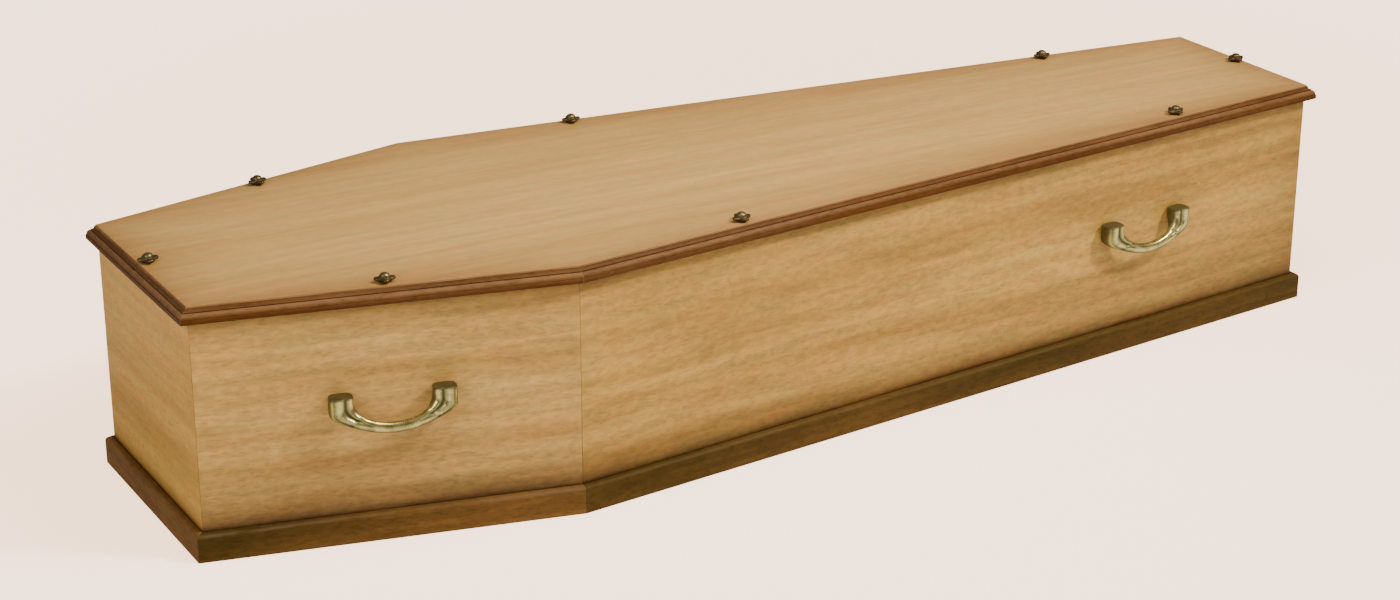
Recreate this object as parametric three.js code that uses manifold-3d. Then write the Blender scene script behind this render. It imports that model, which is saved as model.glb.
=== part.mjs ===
// A wooden coffin of the tapered, shouldered pattern: six veneered boards round a base board, a plinth
// moulding round the foot of the walls, a flat lid with a moulded rim held down by lobed screws, and
// four fixed cast handles. Millimetres, +Z up, the head towards -X and the foot towards +X, with the
// origin at the middle of the underside. Right and left are those of the person who lies in it.
import * as THREE from "three";
import { mergeVertices } from "three/addons/utils/BufferGeometryUtils.js";
import Module from "manifold-3d";

const wasm = await Module();
wasm.setup();

// The walls: sizes over the outer faces, seen from above.
const BODY_LENGTH = 1916;
const HEAD_WIDTH = 358;
const SHOULDER_WIDTH = 600;
const FOOT_WIDTH = 320;
const SHOULDER_FROM_HEAD = 514;
const WALL_HEIGHT = 350;
const WALL_THICKNESS = 18;
const BASE_THICKNESS = 18;

// The small space that is left wherever two separate pieces meet.
const JOINT_GAP = 0.3;

// The plinth moulding, which stands on the floor against the walls.
const PLINTH_HEIGHT = 41;
const PLINTH_THICKNESS = 11;
const PLINTH_ROUND = 6;

// The lid: a flat panel, and a rim moulding that hangs a little below its underside round the walls.
const PANEL_THICKNESS = 18;
const PANEL_OVERHANG = 1;
const RIM_LAP = 4;
const RIM_WIDTH = 12.7;
const RIM_SET_DOWN = 1.8;
const RIM_LAND = 1.7;
const NOSE_HEIGHT = 6.5;
const NOSE_STEP = 1;
const QUIRK_HEIGHT = 1;
const OVOLO_SHARE = 0.58;
const OVOLO_WIDTH_SHARE = 0.55;

// The lid screws, with a plain shank, a round seat, a grip of four lobes and a domed middle.
const SHANK_RADIUS = 2.5;
const SHANK_TIP = 4;
const SHANK_IN_WALL = 25;
const HOLE_CLEARANCE = 0.4;
const SCREW_FROM_INNER_FACE = 6;
const SIDE_SCREW_FROM_END = 281;
const SEAT_RADIUS = 8;
const SEAT_HEIGHT = 2.4;
const GRIP_RADIUS = 15;
const GRIP_HEIGHT = 5.5;
const GRIP_WAIST = 0.66;
const DOME_RADIUS = 7;
const DOME_HEIGHT = 5.5;

// The handles: stout lugs against the board, joined by a bail that hangs in a U and stands clear of it.
const HANDLE_WIDTH = 175;
const HANDLE_DROP = 55;
const HANDLE_TOP_HEIGHT = 221;
const SIDE_HANDLE_FROM_FOOT = 357;
const LUG_WIDTH = 33;
const LUG_DEPTH = 27;
const LUG_OUTER_STRAIGHT = 24;
const LUG_INNER_STRAIGHT = 10;
const BAIL_THICKNESS = 15;
const BAIL_WAIST = 0.78;
const BAIL_DEPTH = 13;
const FINGER_GAP = 19;
const LUG_SQUARENESS = 3.4;
const BAIL_SQUARENESS = 2.2;

// How finely the round forms are cut.
const CURVE_SEGMENTS = 6;
const HOLE_SEGMENTS = 16;
const SCREW_SEGMENTS = 24;
const HANDLE_SECTION_SEGMENTS = 16;
const HANDLE_STRAIGHT_STEPS = 2;
const HANDLE_CURVE_STEPS = 20;

// Heights of the lid that follow from those.
const PANEL_UNDERSIDE = WALL_HEIGHT + JOINT_GAP;
const PANEL_TOP = PANEL_UNDERSIDE + PANEL_THICKNESS;
const RIM_UNDERSIDE = WALL_HEIGHT - RIM_LAP;
const RIM_HEIGHT = PANEL_TOP - RIM_SET_DOWN - RIM_UNDERSIDE;

// How far a screw's axis stands out of the walls' outer faces, so below zero.
const SCREW_OUTWARD = SCREW_FROM_INNER_FACE - WALL_THICKNESS;

// The six sides in order round the coffin, anticlockwise from above. Side i runs from corner i to the next.
const SIDES = ["right_shoulder", "right_side", "foot", "left_side", "left_shoulder", "head"];
const HEAD_X = -BODY_LENGTH / 2;
const FOOT_X = BODY_LENGTH / 2;
const SHOULDER_X = HEAD_X + SHOULDER_FROM_HEAD;
const CORNERS = [
  new THREE.Vector2(HEAD_X, -HEAD_WIDTH / 2),
  new THREE.Vector2(SHOULDER_X, -SHOULDER_WIDTH / 2),
  new THREE.Vector2(FOOT_X, -FOOT_WIDTH / 2),
  new THREE.Vector2(FOOT_X, FOOT_WIDTH / 2),
  new THREE.Vector2(SHOULDER_X, SHOULDER_WIDTH / 2),
  new THREE.Vector2(HEAD_X, HEAD_WIDTH / 2),
];

function cornerAt(index) {
  return CORNERS[(index + CORNERS.length) % CORNERS.length];
}

// The direction in which a side runs, and its length, both along the outer face.
function alongSide(index) {
  return cornerAt(index + 1).clone().sub(cornerAt(index)).normalize();
}

function sideLength(index) {
  return cornerAt(index + 1).distanceTo(cornerAt(index));
}

// The direction that points straight out of a side's outer face.
function outOfSide(index) {
  const along = alongSide(index);
  return new THREE.Vector2(along.y, -along.x);
}

// A corner of the outline after every side has moved outwards by the same distance.
function offsetCorner(index, distance) {
  const before = outOfSide(index - 1);
  const after = outOfSide(index);
  const mitre = before.clone().add(after).divideScalar(1 + before.dot(after));
  return cornerAt(index).clone().addScaledVector(mitre, distance);
}

// How far a piece is pulled back along its side, so that half a joint gap is left at the mitre.
function mitreSetBack(index) {
  const turn = alongSide(index - 1).angleTo(alongSide(index));
  return JOINT_GAP / 2 / Math.cos(turn / 2);
}

// A straight length with mitred ends. The profile's x is the distance out from the wall's outer face
// and its y is the height, and every point of it runs from one mitre to the other.
function mitredLength(side, profile, underside) {
  const geometry = new THREE.ExtrudeGeometry(profile, {
    depth: 1,
    steps: 1,
    bevelEnabled: false,
    curveSegments: CURVE_SEGMENTS,
  });
  const along = alongSide(side);
  const position = geometry.getAttribute("position");
  for (let i = 0; i < position.count; i++) {
    const distance = position.getX(i);
    const start = offsetCorner(side, distance).addScaledVector(along, mitreSetBack(side));
    const end = offsetCorner(side + 1, distance).addScaledVector(along, -mitreSetBack(side + 1));
    const place = end.lerp(start, position.getZ(i));
    position.setXYZ(i, place.x, place.y, underside + position.getY(i));
  }
  return bareGeometry(geometry);
}

// A flat panel with the coffin's outline moved outwards, or inwards for a distance below zero.
function outlinePanel(distance, underside, thickness) {
  const shape = new THREE.Shape(CORNERS.map((corner, index) => offsetCorner(index, distance)));
  const geometry = new THREE.ExtrudeGeometry(shape, { depth: thickness, bevelEnabled: false });
  return bareGeometry(geometry.translate(0, 0, underside));
}

// Only the corners and the faces of a geometry, with the corners that coincide made one.
function bareGeometry(geometry) {
  geometry.deleteAttribute("normal");
  geometry.deleteAttribute("uv");
  const merged = mergeVertices(geometry, 1e-4);
  merged.computeVertexNormals();
  return merged;
}

function solidOf(geometry) {
  const bare = new THREE.BufferGeometry();
  bare.setAttribute("position", geometry.getAttribute("position"));
  bare.setIndex(geometry.index);
  const merged = mergeVertices(bare, 1e-4);
  const vertProperties = new Float32Array(merged.getAttribute("position").array);
  const triVerts = new Uint32Array(merged.index.array);
  return new wasm.Manifold(new wasm.Mesh({ numProp: 3, vertProperties, triVerts }));
}

function geometryOf(solid) {
  const mesh = solid.getMesh();
  const geometry = new THREE.BufferGeometry();
  geometry.setAttribute("position", new THREE.BufferAttribute(mesh.vertProperties, 3));
  geometry.setIndex(new THREE.BufferAttribute(mesh.triVerts, 1));
  geometry.computeVertexNormals();
  return geometry;
}

function cutAway(geometry, tools) {
  const whole = solidOf(geometry);
  return geometryOf(tools.reduce((left, tool) => left.subtract(solidOf(tool)), whole));
}

// The sections of the boards and mouldings.
function boardProfile() {
  const shape = new THREE.Shape();
  shape.moveTo(-WALL_THICKNESS, 0);
  shape.lineTo(0, 0);
  shape.lineTo(0, WALL_HEIGHT);
  shape.lineTo(-WALL_THICKNESS, WALL_HEIGHT);
  shape.closePath();
  return shape;
}

// A plain strip whose top outer arris is rounded over.
function plinthProfile() {
  const face = JOINT_GAP + PLINTH_THICKNESS;
  const shape = new THREE.Shape();
  shape.moveTo(JOINT_GAP, 0);
  shape.lineTo(face, 0);
  shape.lineTo(face, PLINTH_HEIGHT - PLINTH_ROUND);
  shape.absarc(face - PLINTH_ROUND, PLINTH_HEIGHT - PLINTH_ROUND, PLINTH_ROUND, 0, Math.PI / 2, false);
  shape.lineTo(JOINT_GAP, PLINTH_HEIGHT);
  shape.closePath();
  return shape;
}

// From the bottom up: a square nose, a small step in, an ovolo, a quirk, a cove, and a flat land
// beside the lid panel. The ovolo and the cove share what the other members leave them.
function rimProfile() {
  const inner = PANEL_OVERHANG + JOINT_GAP;
  const nose = inner + RIM_WIDTH;
  const land = inner + RIM_LAND;
  const roundWidth = nose - NOSE_STEP - land;
  const roundHeight = RIM_HEIGHT - NOSE_HEIGHT - QUIRK_HEIGHT;
  const ovoloWidth = OVOLO_WIDTH_SHARE * roundWidth;
  const ovoloHeight = OVOLO_SHARE * roundHeight;
  const quirk = nose - NOSE_STEP - ovoloWidth;
  const shape = new THREE.Shape();
  shape.moveTo(inner, 0);
  shape.lineTo(nose, 0);
  shape.lineTo(nose, NOSE_HEIGHT);
  shape.absellipse(quirk, NOSE_HEIGHT, ovoloWidth, ovoloHeight, 0, Math.PI / 2, false);
  shape.absellipse(quirk, RIM_HEIGHT, quirk - land, roundHeight - ovoloHeight, Math.PI * 1.5, Math.PI, true);
  shape.lineTo(inner, RIM_HEIGHT);
  shape.closePath();
  return shape;
}

// Where the lid screws stand: the side, and the distance along it from its first corner.
function screwPlaces() {
  const middles = ["head", "foot", "right_shoulder", "left_shoulder"].map((name) => ({
    name: "lid_screw_" + name,
    side: SIDES.indexOf(name),
    distance: sideLength(SIDES.indexOf(name)) / 2,
  }));
  const right = SIDES.indexOf("right_side");
  const left = SIDES.indexOf("left_side");
  const far = sideLength(right) - SIDE_SCREW_FROM_END;
  return [
    ...middles,
    { name: "lid_screw_right_upper", side: right, distance: SIDE_SCREW_FROM_END },
    { name: "lid_screw_right_lower", side: right, distance: far },
    { name: "lid_screw_left_lower", side: left, distance: SIDE_SCREW_FROM_END },
    { name: "lid_screw_left_upper", side: left, distance: far },
  ];
}

// Where the handles hang: the middle of each shoulder board, and near the foot end of each long side.
function handlePlaces() {
  const rightShoulder = SIDES.indexOf("right_shoulder");
  const leftShoulder = SIDES.indexOf("left_shoulder");
  const right = SIDES.indexOf("right_side");
  const left = SIDES.indexOf("left_side");
  const fromShoulder = sideLength(right) - SIDE_HANDLE_FROM_FOOT;
  return [
    { name: "handle_right_shoulder", side: rightShoulder, distance: sideLength(rightShoulder) / 2 },
    { name: "handle_right_foot", side: right, distance: fromShoulder },
    { name: "handle_left_foot", side: left, distance: SIDE_HANDLE_FROM_FOOT },
    { name: "handle_left_shoulder", side: leftShoulder, distance: sideLength(leftShoulder) / 2 },
  ];
}

// A group whose x runs along a side and whose y points into the coffin, at a distance along that side
// and a distance out of its outer face.
function sideFrame(side, distance, outward, height) {
  const along = alongSide(side);
  const place = cornerAt(side).clone().addScaledVector(along, distance);
  place.addScaledVector(outOfSide(side), outward);
  const frame = new THREE.Group();
  frame.position.set(place.x, place.y, height);
  frame.rotation.z = Math.atan2(along.y, along.x);
  return frame;
}

// The hole for a screw's shank, from the top of the lid to a little below the shank's tip.
function screwHole(place) {
  const depth = PANEL_THICKNESS + SHANK_IN_WALL + 3 * JOINT_GAP;
  const hole = new THREE.CylinderGeometry(
    SHANK_RADIUS + HOLE_CLEARANCE,
    SHANK_RADIUS + HOLE_CLEARANCE,
    depth + PANEL_THICKNESS,
    HOLE_SEGMENTS,
  );
  const frame = sideFrame(place.side, place.distance, SCREW_OUTWARD, PANEL_TOP - depth);
  frame.updateMatrix();
  hole.rotateX(Math.PI / 2).translate(0, 0, (depth + PANEL_THICKNESS) / 2);
  return bareGeometry(hole).applyMatrix4(frame.matrix);
}

// One screw, turned about z with z = 0 under its seat. The grip's rings are drawn in between the four
// lobes, which lie along the side and square to it.
function screwGeometry() {
  const shankLength = PANEL_THICKNESS + 2 * JOINT_GAP + SHANK_IN_WALL;
  const gripTop = SEAT_HEIGHT + GRIP_HEIGHT;
  const profile = [
    [0, -shankLength],
    [SHANK_RADIUS, SHANK_TIP - shankLength],
    [SHANK_RADIUS, 0],
    [SEAT_RADIUS, 0],
    [SEAT_RADIUS, SEAT_HEIGHT * 0.5],
    [SEAT_RADIUS * 0.9, SEAT_HEIGHT],
    [GRIP_RADIUS * 0.93, SEAT_HEIGHT + GRIP_HEIGHT * 0.12],
    [GRIP_RADIUS, SEAT_HEIGHT + GRIP_HEIGHT * 0.45],
    [GRIP_RADIUS * 0.92, SEAT_HEIGHT + GRIP_HEIGHT * 0.85],
    [DOME_RADIUS * 1.25, gripTop],
    [DOME_RADIUS * 0.94, gripTop + DOME_HEIGHT * 0.35],
    [DOME_RADIUS * 0.6, gripTop + DOME_HEIGHT * 0.8],
    [0, gripTop + DOME_HEIGHT],
  ].map(([radius, height]) => new THREE.Vector2(radius, height));
  const geometry = new THREE.LatheGeometry(profile, SCREW_SEGMENTS);
  const position = geometry.getAttribute("position");
  for (let i = 0; i < position.count; i++) {
    const x = position.getX(i);
    const y = position.getZ(i);
    const radius = Math.hypot(x, y);
    const lobed = THREE.MathUtils.smoothstep(radius, SEAT_RADIUS, GRIP_RADIUS * 0.9);
    const between = Math.sin(2 * Math.atan2(y, x)) ** 2;
    const drawnIn = 1 - (1 - GRIP_WAIST) * lobed * between;
    position.setXYZ(i, x * drawnIn, -y * drawnIn, position.getY(i));
  }
  return bareGeometry(geometry);
}

// One handle in its own frame: x along the board, y into the board with y = 0 at the board's face,
// z = 0 at the lugs' tops. A closed round bar is carried along the U. On each side of the bar a line
// goes straight down and then round half an ellipse, and the bar's section fills the space between the
// two lines: nearly square at the lugs, rounder at the middle of the bail. Just beyond each lug the
// outer side is drawn in towards the inner line, to the bail's waist.
function handleGeometry() {
  const steps = HANDLE_CURVE_STEPS + 2 * HANDLE_STRAIGHT_STEPS;
  const straightShare = HANDLE_STRAIGHT_STEPS / steps;
  const bar = new THREE.CylinderGeometry(1, 1, 1, HANDLE_SECTION_SEGMENTS, steps);
  const outer = { half: HANDLE_WIDTH / 2, straight: LUG_OUTER_STRAIGHT, drop: HANDLE_DROP };
  const inner = {
    half: HANDLE_WIDTH / 2 - LUG_WIDTH,
    straight: LUG_INNER_STRAIGHT,
    drop: HANDLE_DROP - BAIL_THICKNESS,
  };
  const onLine = (line, share) => {
    const turned = THREE.MathUtils.clamp((share - straightShare) / (1 - 2 * straightShare), 0, 1);
    const fromEnd = Math.min(share, 1 - share);
    const angle = turned * Math.PI;
    const straight = line.straight * Math.min(fromEnd / straightShare, 1);
    const x = -line.half * Math.cos(angle);
    return new THREE.Vector2(x, -straight - (line.drop - line.straight) * Math.sin(angle));
  };
  const position = bar.getAttribute("position");
  for (let i = 0; i < position.count; i++) {
    const share = 0.5 + position.getY(i);
    const turned = THREE.MathUtils.clamp((share - straightShare) / (1 - 2 * straightShare), 0, 1);
    const swing = Math.sin(turned * Math.PI);
    const squareness = THREE.MathUtils.lerp(LUG_SQUARENESS, BAIL_SQUARENESS, swing);
    const across = squared(position.getX(i), squareness);
    const deep = squared(position.getZ(i), squareness);
    const drawnIn = 1 - (1 - BAIL_WAIST) * Math.sin(2 * Math.PI * turned) ** 2;
    const half = onLine(outer, share).sub(onLine(inner, share)).multiplyScalar(drawnIn / 2);
    const middle = onLine(inner, share).add(half);
    const back = JOINT_GAP + FINGER_GAP * THREE.MathUtils.smoothstep(swing, 0.05, 0.8);
    const front = THREE.MathUtils.lerp(LUG_DEPTH, FINGER_GAP + BAIL_DEPTH, swing);
    const out = (front + back) / 2 + (deep * (front - back)) / 2;
    position.setXYZ(i, middle.x + half.x * across, -out, middle.y + half.y * across);
  }
  return bareGeometry(bar);
}

// One coordinate of a point on a circle, moved out towards the square round it.
function squared(value, squareness) {
  return Math.sign(value) * Math.abs(value) ** (2 / squareness);
}

// The finishes.
function oakVeneer() {
  return new THREE.MeshStandardMaterial({ color: 0xbe945f, roughness: 0.45, metalness: 0, flatShading: true });
}

function stainedRim() {
  return new THREE.MeshStandardMaterial({ color: 0x7a4e2c, roughness: 0.4, metalness: 0, flatShading: true });
}

function stainedPlinth() {
  return new THREE.MeshStandardMaterial({ color: 0x5a3e19, roughness: 0.45, metalness: 0, flatShading: true });
}

function castBrass() {
  return new THREE.MeshStandardMaterial({ color: 0xb0a06a, roughness: 0.3, metalness: 1 });
}

function darkBronze() {
  return new THREE.MeshStandardMaterial({ color: 0x5e4a2a, roughness: 0.4, metalness: 1 });
}

function namedMesh(name, geometry, material) {
  const mesh = new THREE.Mesh(geometry, material);
  mesh.name = name;
  return mesh;
}

function makeBody(screws) {
  const body = new THREE.Group();
  const base = outlinePanel(-WALL_THICKNESS - JOINT_GAP, 0, BASE_THICKNESS);
  body.add(namedMesh("base_board", base, oakVeneer()));
  SIDES.forEach((name, side) => {
    const holes = screws.filter((place) => place.side === side).map(screwHole);
    const board = cutAway(mitredLength(side, boardProfile(), 0), holes);
    body.add(namedMesh(name + "_board", board, oakVeneer()));
    const plinth = mitredLength(side, plinthProfile(), 0);
    body.add(namedMesh(name + "_plinth", plinth, stainedPlinth()));
  });
  return body;
}

function makeLid(screws) {
  const lid = new THREE.Group();
  const panel = outlinePanel(PANEL_OVERHANG, PANEL_UNDERSIDE, PANEL_THICKNESS);
  lid.add(namedMesh("lid_panel", cutAway(panel, screws.map(screwHole)), oakVeneer()));
  SIDES.forEach((name, side) => {
    const rim = mitredLength(side, rimProfile(), RIM_UNDERSIDE);
    lid.add(namedMesh(name + "_lid_moulding", rim, stainedRim()));
  });
  return lid;
}

function makeScrews(screws) {
  const group = new THREE.Group();
  screws.forEach((place) => {
    const frame = sideFrame(place.side, place.distance, SCREW_OUTWARD, PANEL_TOP + JOINT_GAP);
    frame.add(namedMesh(place.name, screwGeometry(), darkBronze()));
    group.add(frame);
  });
  return group;
}

function makeHandles() {
  const group = new THREE.Group();
  handlePlaces().forEach((place) => {
    const frame = sideFrame(place.side, place.distance, 0, HANDLE_TOP_HEIGHT);
    frame.add(namedMesh(place.name, handleGeometry(), castBrass()));
    group.add(frame);
  });
  return group;
}

const screws = screwPlaces();
const coffin = new THREE.Group();
coffin.add(makeBody(screws), makeLid(screws), makeScrews(screws), makeHandles());

export default coffin;
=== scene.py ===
"""A tapered wooden coffin: veneered boards, stained mouldings, lobed lid screws and cast handles.

Every length is in metres. The frame's +X runs from the head to the foot, +Y to the left of the
person who lies in the coffin, and +Z up. The pieces carry values on their points for their
finishes. "grain" is a place in the wood, with x along the fibres. "ends" holds the distances from
a length's two mitres and from the foot. "arris" is 1 on an eased edge, painted paler as wear and
as a painted highlight. "groove" is 1 in corners and recesses, painted darker partly as stain
gathering there and partly as painted shade. "tone" is 1 where stain is warmer and lighter; on the
lid mouldings' ovolo it is a painted highlight and low on the plinths a painted bounce light.
"tint" is a board's own tone, partly painted light set for how light falls on each face.
"spray" above 1 draws a board's darkening above the plinth in, and "plain" weakens its
figure. "hollow" says where cast metal is dark with patina and with painted
shade, and "worn" where it is bright with wear and a painted highlight.
"""

import logging
import math
from dataclasses import dataclass, field
from enum import Enum
from typing import ClassVar, Iterator

import bpy
import numpy as np
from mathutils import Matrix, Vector
from mathutils.geometry import delaunay_2d_cdt


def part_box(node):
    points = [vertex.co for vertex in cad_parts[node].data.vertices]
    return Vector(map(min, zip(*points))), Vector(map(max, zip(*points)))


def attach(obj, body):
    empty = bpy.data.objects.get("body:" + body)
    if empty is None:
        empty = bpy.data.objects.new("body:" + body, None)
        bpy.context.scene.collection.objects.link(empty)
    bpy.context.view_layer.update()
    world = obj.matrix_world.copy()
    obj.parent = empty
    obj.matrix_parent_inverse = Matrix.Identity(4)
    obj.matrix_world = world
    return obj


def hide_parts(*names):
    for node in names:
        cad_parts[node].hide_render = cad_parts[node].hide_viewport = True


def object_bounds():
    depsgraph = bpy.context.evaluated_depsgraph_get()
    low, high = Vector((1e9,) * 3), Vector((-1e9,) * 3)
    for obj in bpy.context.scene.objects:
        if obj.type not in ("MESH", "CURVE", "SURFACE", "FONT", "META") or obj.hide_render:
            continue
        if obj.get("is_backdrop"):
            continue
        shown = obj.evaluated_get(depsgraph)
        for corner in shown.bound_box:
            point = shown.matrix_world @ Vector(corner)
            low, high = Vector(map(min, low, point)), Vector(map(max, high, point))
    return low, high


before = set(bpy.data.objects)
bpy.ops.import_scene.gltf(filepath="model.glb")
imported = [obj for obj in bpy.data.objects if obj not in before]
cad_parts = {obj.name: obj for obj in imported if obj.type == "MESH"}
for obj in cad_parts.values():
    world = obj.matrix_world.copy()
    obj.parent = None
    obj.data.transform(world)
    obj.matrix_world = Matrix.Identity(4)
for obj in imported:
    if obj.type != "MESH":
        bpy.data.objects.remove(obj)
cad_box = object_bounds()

log = logging.getLogger("coffin")

MM = 0.001
BODY = "root"
SIDES = ("right_shoulder", "right_side", "foot", "left_side", "left_shoulder", "head")
# Faces that meet more sharply than this keep a hard edge.
SHARP_ANGLE = math.radians(32)
# A point nearer to an edge than this lies on it.
SAME_PLACE = 0.01 * MM
# Points nearer to each other than this are one.
WELD = 1e-7
# How many points a round hole has.
HOLE_STEPS = 32
# The distance that stands for no edge being near.
NO_EDGE_NEAR = 9.0

Triple = tuple[float, float, float]
Values = dict[str, np.ndarray]
Material = bpy.types.Material
Socket = bpy.types.NodeSocket


@dataclass
class Surface:
    """The points, faces and point values of one piece, before it becomes a mesh."""

    points: np.ndarray
    faces: list[list[int]]
    values: Values = field(default_factory=dict)

    def fill(self, **values: object) -> None:
        """Gives every point the same value under each name."""
        for key, value in values.items():
            self.values[key] = np.repeat(np.asarray(value, float)[None], len(self.points), axis=0)


# Each piece's name, its node and its shape.
Pieces = Iterator[tuple[str, str, Surface]]


@dataclass(frozen=True)
class Rise:
    """A smooth rise from 0 below one value to a height above another, 3t^2 - 2t^3 between."""

    low: float
    high: float
    height: float = 1.0

    def at(self, value: np.ndarray) -> np.ndarray:
        """The rise at each value."""
        t = np.clip((value - self.low) / (self.high - self.low), 0, 1)
        return t * t * (3 - 2 * t) * self.height


@dataclass(frozen=True)
class Bell:
    """Height times e to the minus t squared, where t is the distance to the middle in widths."""

    middle: float
    width: float
    height: float = 1.0

    def at(self, value: np.ndarray) -> np.ndarray:
        """The curve at each value."""
        return self.height * np.exp(-(((value - self.middle) / self.width) ** 2))


def node_points(node: str) -> np.ndarray:
    """The corners of a node of the frame.

    Args:
        node: The node's name.

    Returns:
        An array of one row for each corner.
    """
    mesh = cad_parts[node].data
    points = np.empty(len(mesh.vertices) * 3, np.float32)
    mesh.vertices.foreach_get("co", points)
    return points.reshape(-1, 3).astype(float)


def nodes_named(start: str) -> list[str]:
    """The frame's nodes whose names have the same start, in order."""
    return sorted(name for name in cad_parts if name.startswith(start))


def add_object(name: str, data: bpy.types.ID) -> bpy.types.Object:
    """A new object in the scene, at the origin.

    Args:
        name: Its name.
        data: Its mesh, light or camera.

    Returns:
        The object.
    """
    made = bpy.data.objects.new(name, data)
    bpy.context.scene.collection.objects.link(made)
    return made


def make_piece(name: str, surface: Surface, material: Material, node: str, slot: str) -> None:
    """Turns a surface into a piece that rides on the coffin and stands for a node of the frame.

    Args:
        name: The piece's name.
        surface: Its shape, in the frame's own place.
        material: Its finish.
        node: The node that it stands for.
        slot: The record's material slot, which is not used.
    """
    mesh = bpy.data.meshes.new(name)
    mesh.from_pydata(surface.points.tolist(), [], surface.faces)
    for key, value in surface.values.items():
        kind, field_name = ("FLOAT_VECTOR", "vector") if value.ndim == 2 else ("FLOAT", "value")
        data = mesh.attributes.new(key, kind, "POINT").data
        data.foreach_set(field_name, value.astype(np.float32).ravel())
    mesh.shade_smooth()
    mesh.set_sharp_from_angle(angle=SHARP_ANGLE)
    mesh.materials.append(material)
    mesh.update()
    piece = add_object(name, mesh)
    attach(piece, BODY)
    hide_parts(node)
    log.info("%s: %d points, %d faces", name, len(mesh.vertices), len(mesh.polygons))


class SubAssembly:
    """Like pieces of the coffin that share a finish, each standing for a node of the frame."""

    slot: ClassVar[str]

    def pieces(self) -> Pieces:
        """Each piece's name, its node and its shape."""
        raise NotImplementedError

    def build(self, finishes: dict[str, Material]) -> None:
        """Makes every piece and gives it the finish of the sub-assembly's slot."""
        for name, node, surface in self.pieces():
            make_piece(name, surface, finishes[self.slot], node, self.slot)


def unit(rows: np.ndarray) -> np.ndarray:
    """Each row divided by its own length."""
    return rows / np.linalg.norm(rows, axis=-1, keepdims=True)


def left_of(rows: np.ndarray) -> np.ndarray:
    """Each direction in the plane turned a quarter turn anticlockwise."""
    return np.stack([-rows[..., 1], rows[..., 0]], axis=-1)


def quarter_round(ease: float, steps: int) -> tuple[np.ndarray, np.ndarray]:
    """An eased arris: ease times one less the cosine of an angle, and times one less its sine."""
    angle = np.linspace(0, math.pi / 2, steps + 1)
    return ease * (1 - np.cos(angle)), ease * (1 - np.sin(angle))


def ellipse_arc(
    centre: tuple[float, float], radii: tuple[float, float], turn: tuple[float, float], steps: int
) -> np.ndarray:
    """A piece of an ellipse.

    The formula is centre + (radius_x cos a, radius_y sin a), with a in equal steps between two
    angles.

    Args:
        centre: The ellipse's middle.
        radii: Its two radii.
        turn: The first and last angle in degrees.
        steps: How many steps there are between them.

    Returns:
        One row for each point.
    """
    angle = np.radians(np.linspace(*turn, steps + 1))
    return np.array(centre) + np.stack([radii[0] * np.cos(angle), radii[1] * np.sin(angle)], axis=1)


def eased_loop(corners: np.ndarray, radii: np.ndarray, steps: int) -> tuple[np.ndarray, np.ndarray]:
    """A closed outline whose corners are rounded off.

    At each corner the straight lines stop a tangent length short of it, radius times the tangent
    of half the turn, and an arc of that radius leads from one to the other in equal steps. One
    more point on each side of the arc holds the straight lines flat.

    Args:
        corners: The sharp corners, anticlockwise, one row each.
        radii: The radius at each corner.
        steps: How many steps an arc has.

    Returns:
        The points of the outline, and 1 for each that lies on an arc and 0 for the rest.
    """
    before = unit(corners - np.roll(corners, 1, axis=0))
    after = unit(np.roll(corners, -1, axis=0) - corners)
    cross = before[:, 0] * after[:, 1] - before[:, 1] * after[:, 0]
    turn = np.arctan2(cross, (before * after).sum(axis=1))
    reach = (radii * np.tan(np.abs(turn) / 2))[:, None]
    first = corners - before * reach
    last = corners + after * reach
    spoke = -left_of(before) * (np.sign(turn) * radii)[:, None]
    angle = (turn[:, None] * np.linspace(0, 1, steps + 1))[..., None]
    swept = spoke[:, None] * np.cos(angle) + left_of(spoke)[:, None] * np.sin(angle)
    rows = [(first - before * reach)[:, None], (first - spoke)[:, None] + swept]
    rows.append((last + after * reach)[:, None])
    on_arc = np.tile(np.r_[0.0, np.ones(steps + 1), 0.0], len(corners))
    return np.concatenate(rows, axis=1).reshape(-1, 2), on_arc


def loft_faces(rings: int, around: int) -> list[list[int]]:
    """The quads between closed rings of points that follow one another.

    Args:
        rings: How many rings there are.
        around: How many points each has.

    Returns:
        Four point numbers for each quad, pointing out.
    """
    ring, point = np.meshgrid(np.arange(rings - 1), np.arange(around), indexing="ij")
    following = (point + 1) % around
    near, far = ring * around, (ring + 1) * around
    quads = [near + point, far + point, far + following, near + following]
    return np.stack(quads, axis=-1).reshape(-1, 4).tolist()


def capped_loft(points: np.ndarray, values: Values) -> Surface:
    """The closed surface of rings that follow one another, with a flat cap at each end.

    Args:
        points: The rings, one row of points each.
        values: The points' values, in the same rows.

    Returns:
        The surface.
    """
    rings, around = points.shape[:2]
    last = (rings - 1) * around
    caps = [list(range(around)), list(range(last + around - 1, last - 1, -1))]
    flat = {key: value.reshape(rings * around, *value.shape[2:]) for key, value in values.items()}
    return Surface(points.reshape(-1, 3), loft_faces(rings, around) + caps, flat)


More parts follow.
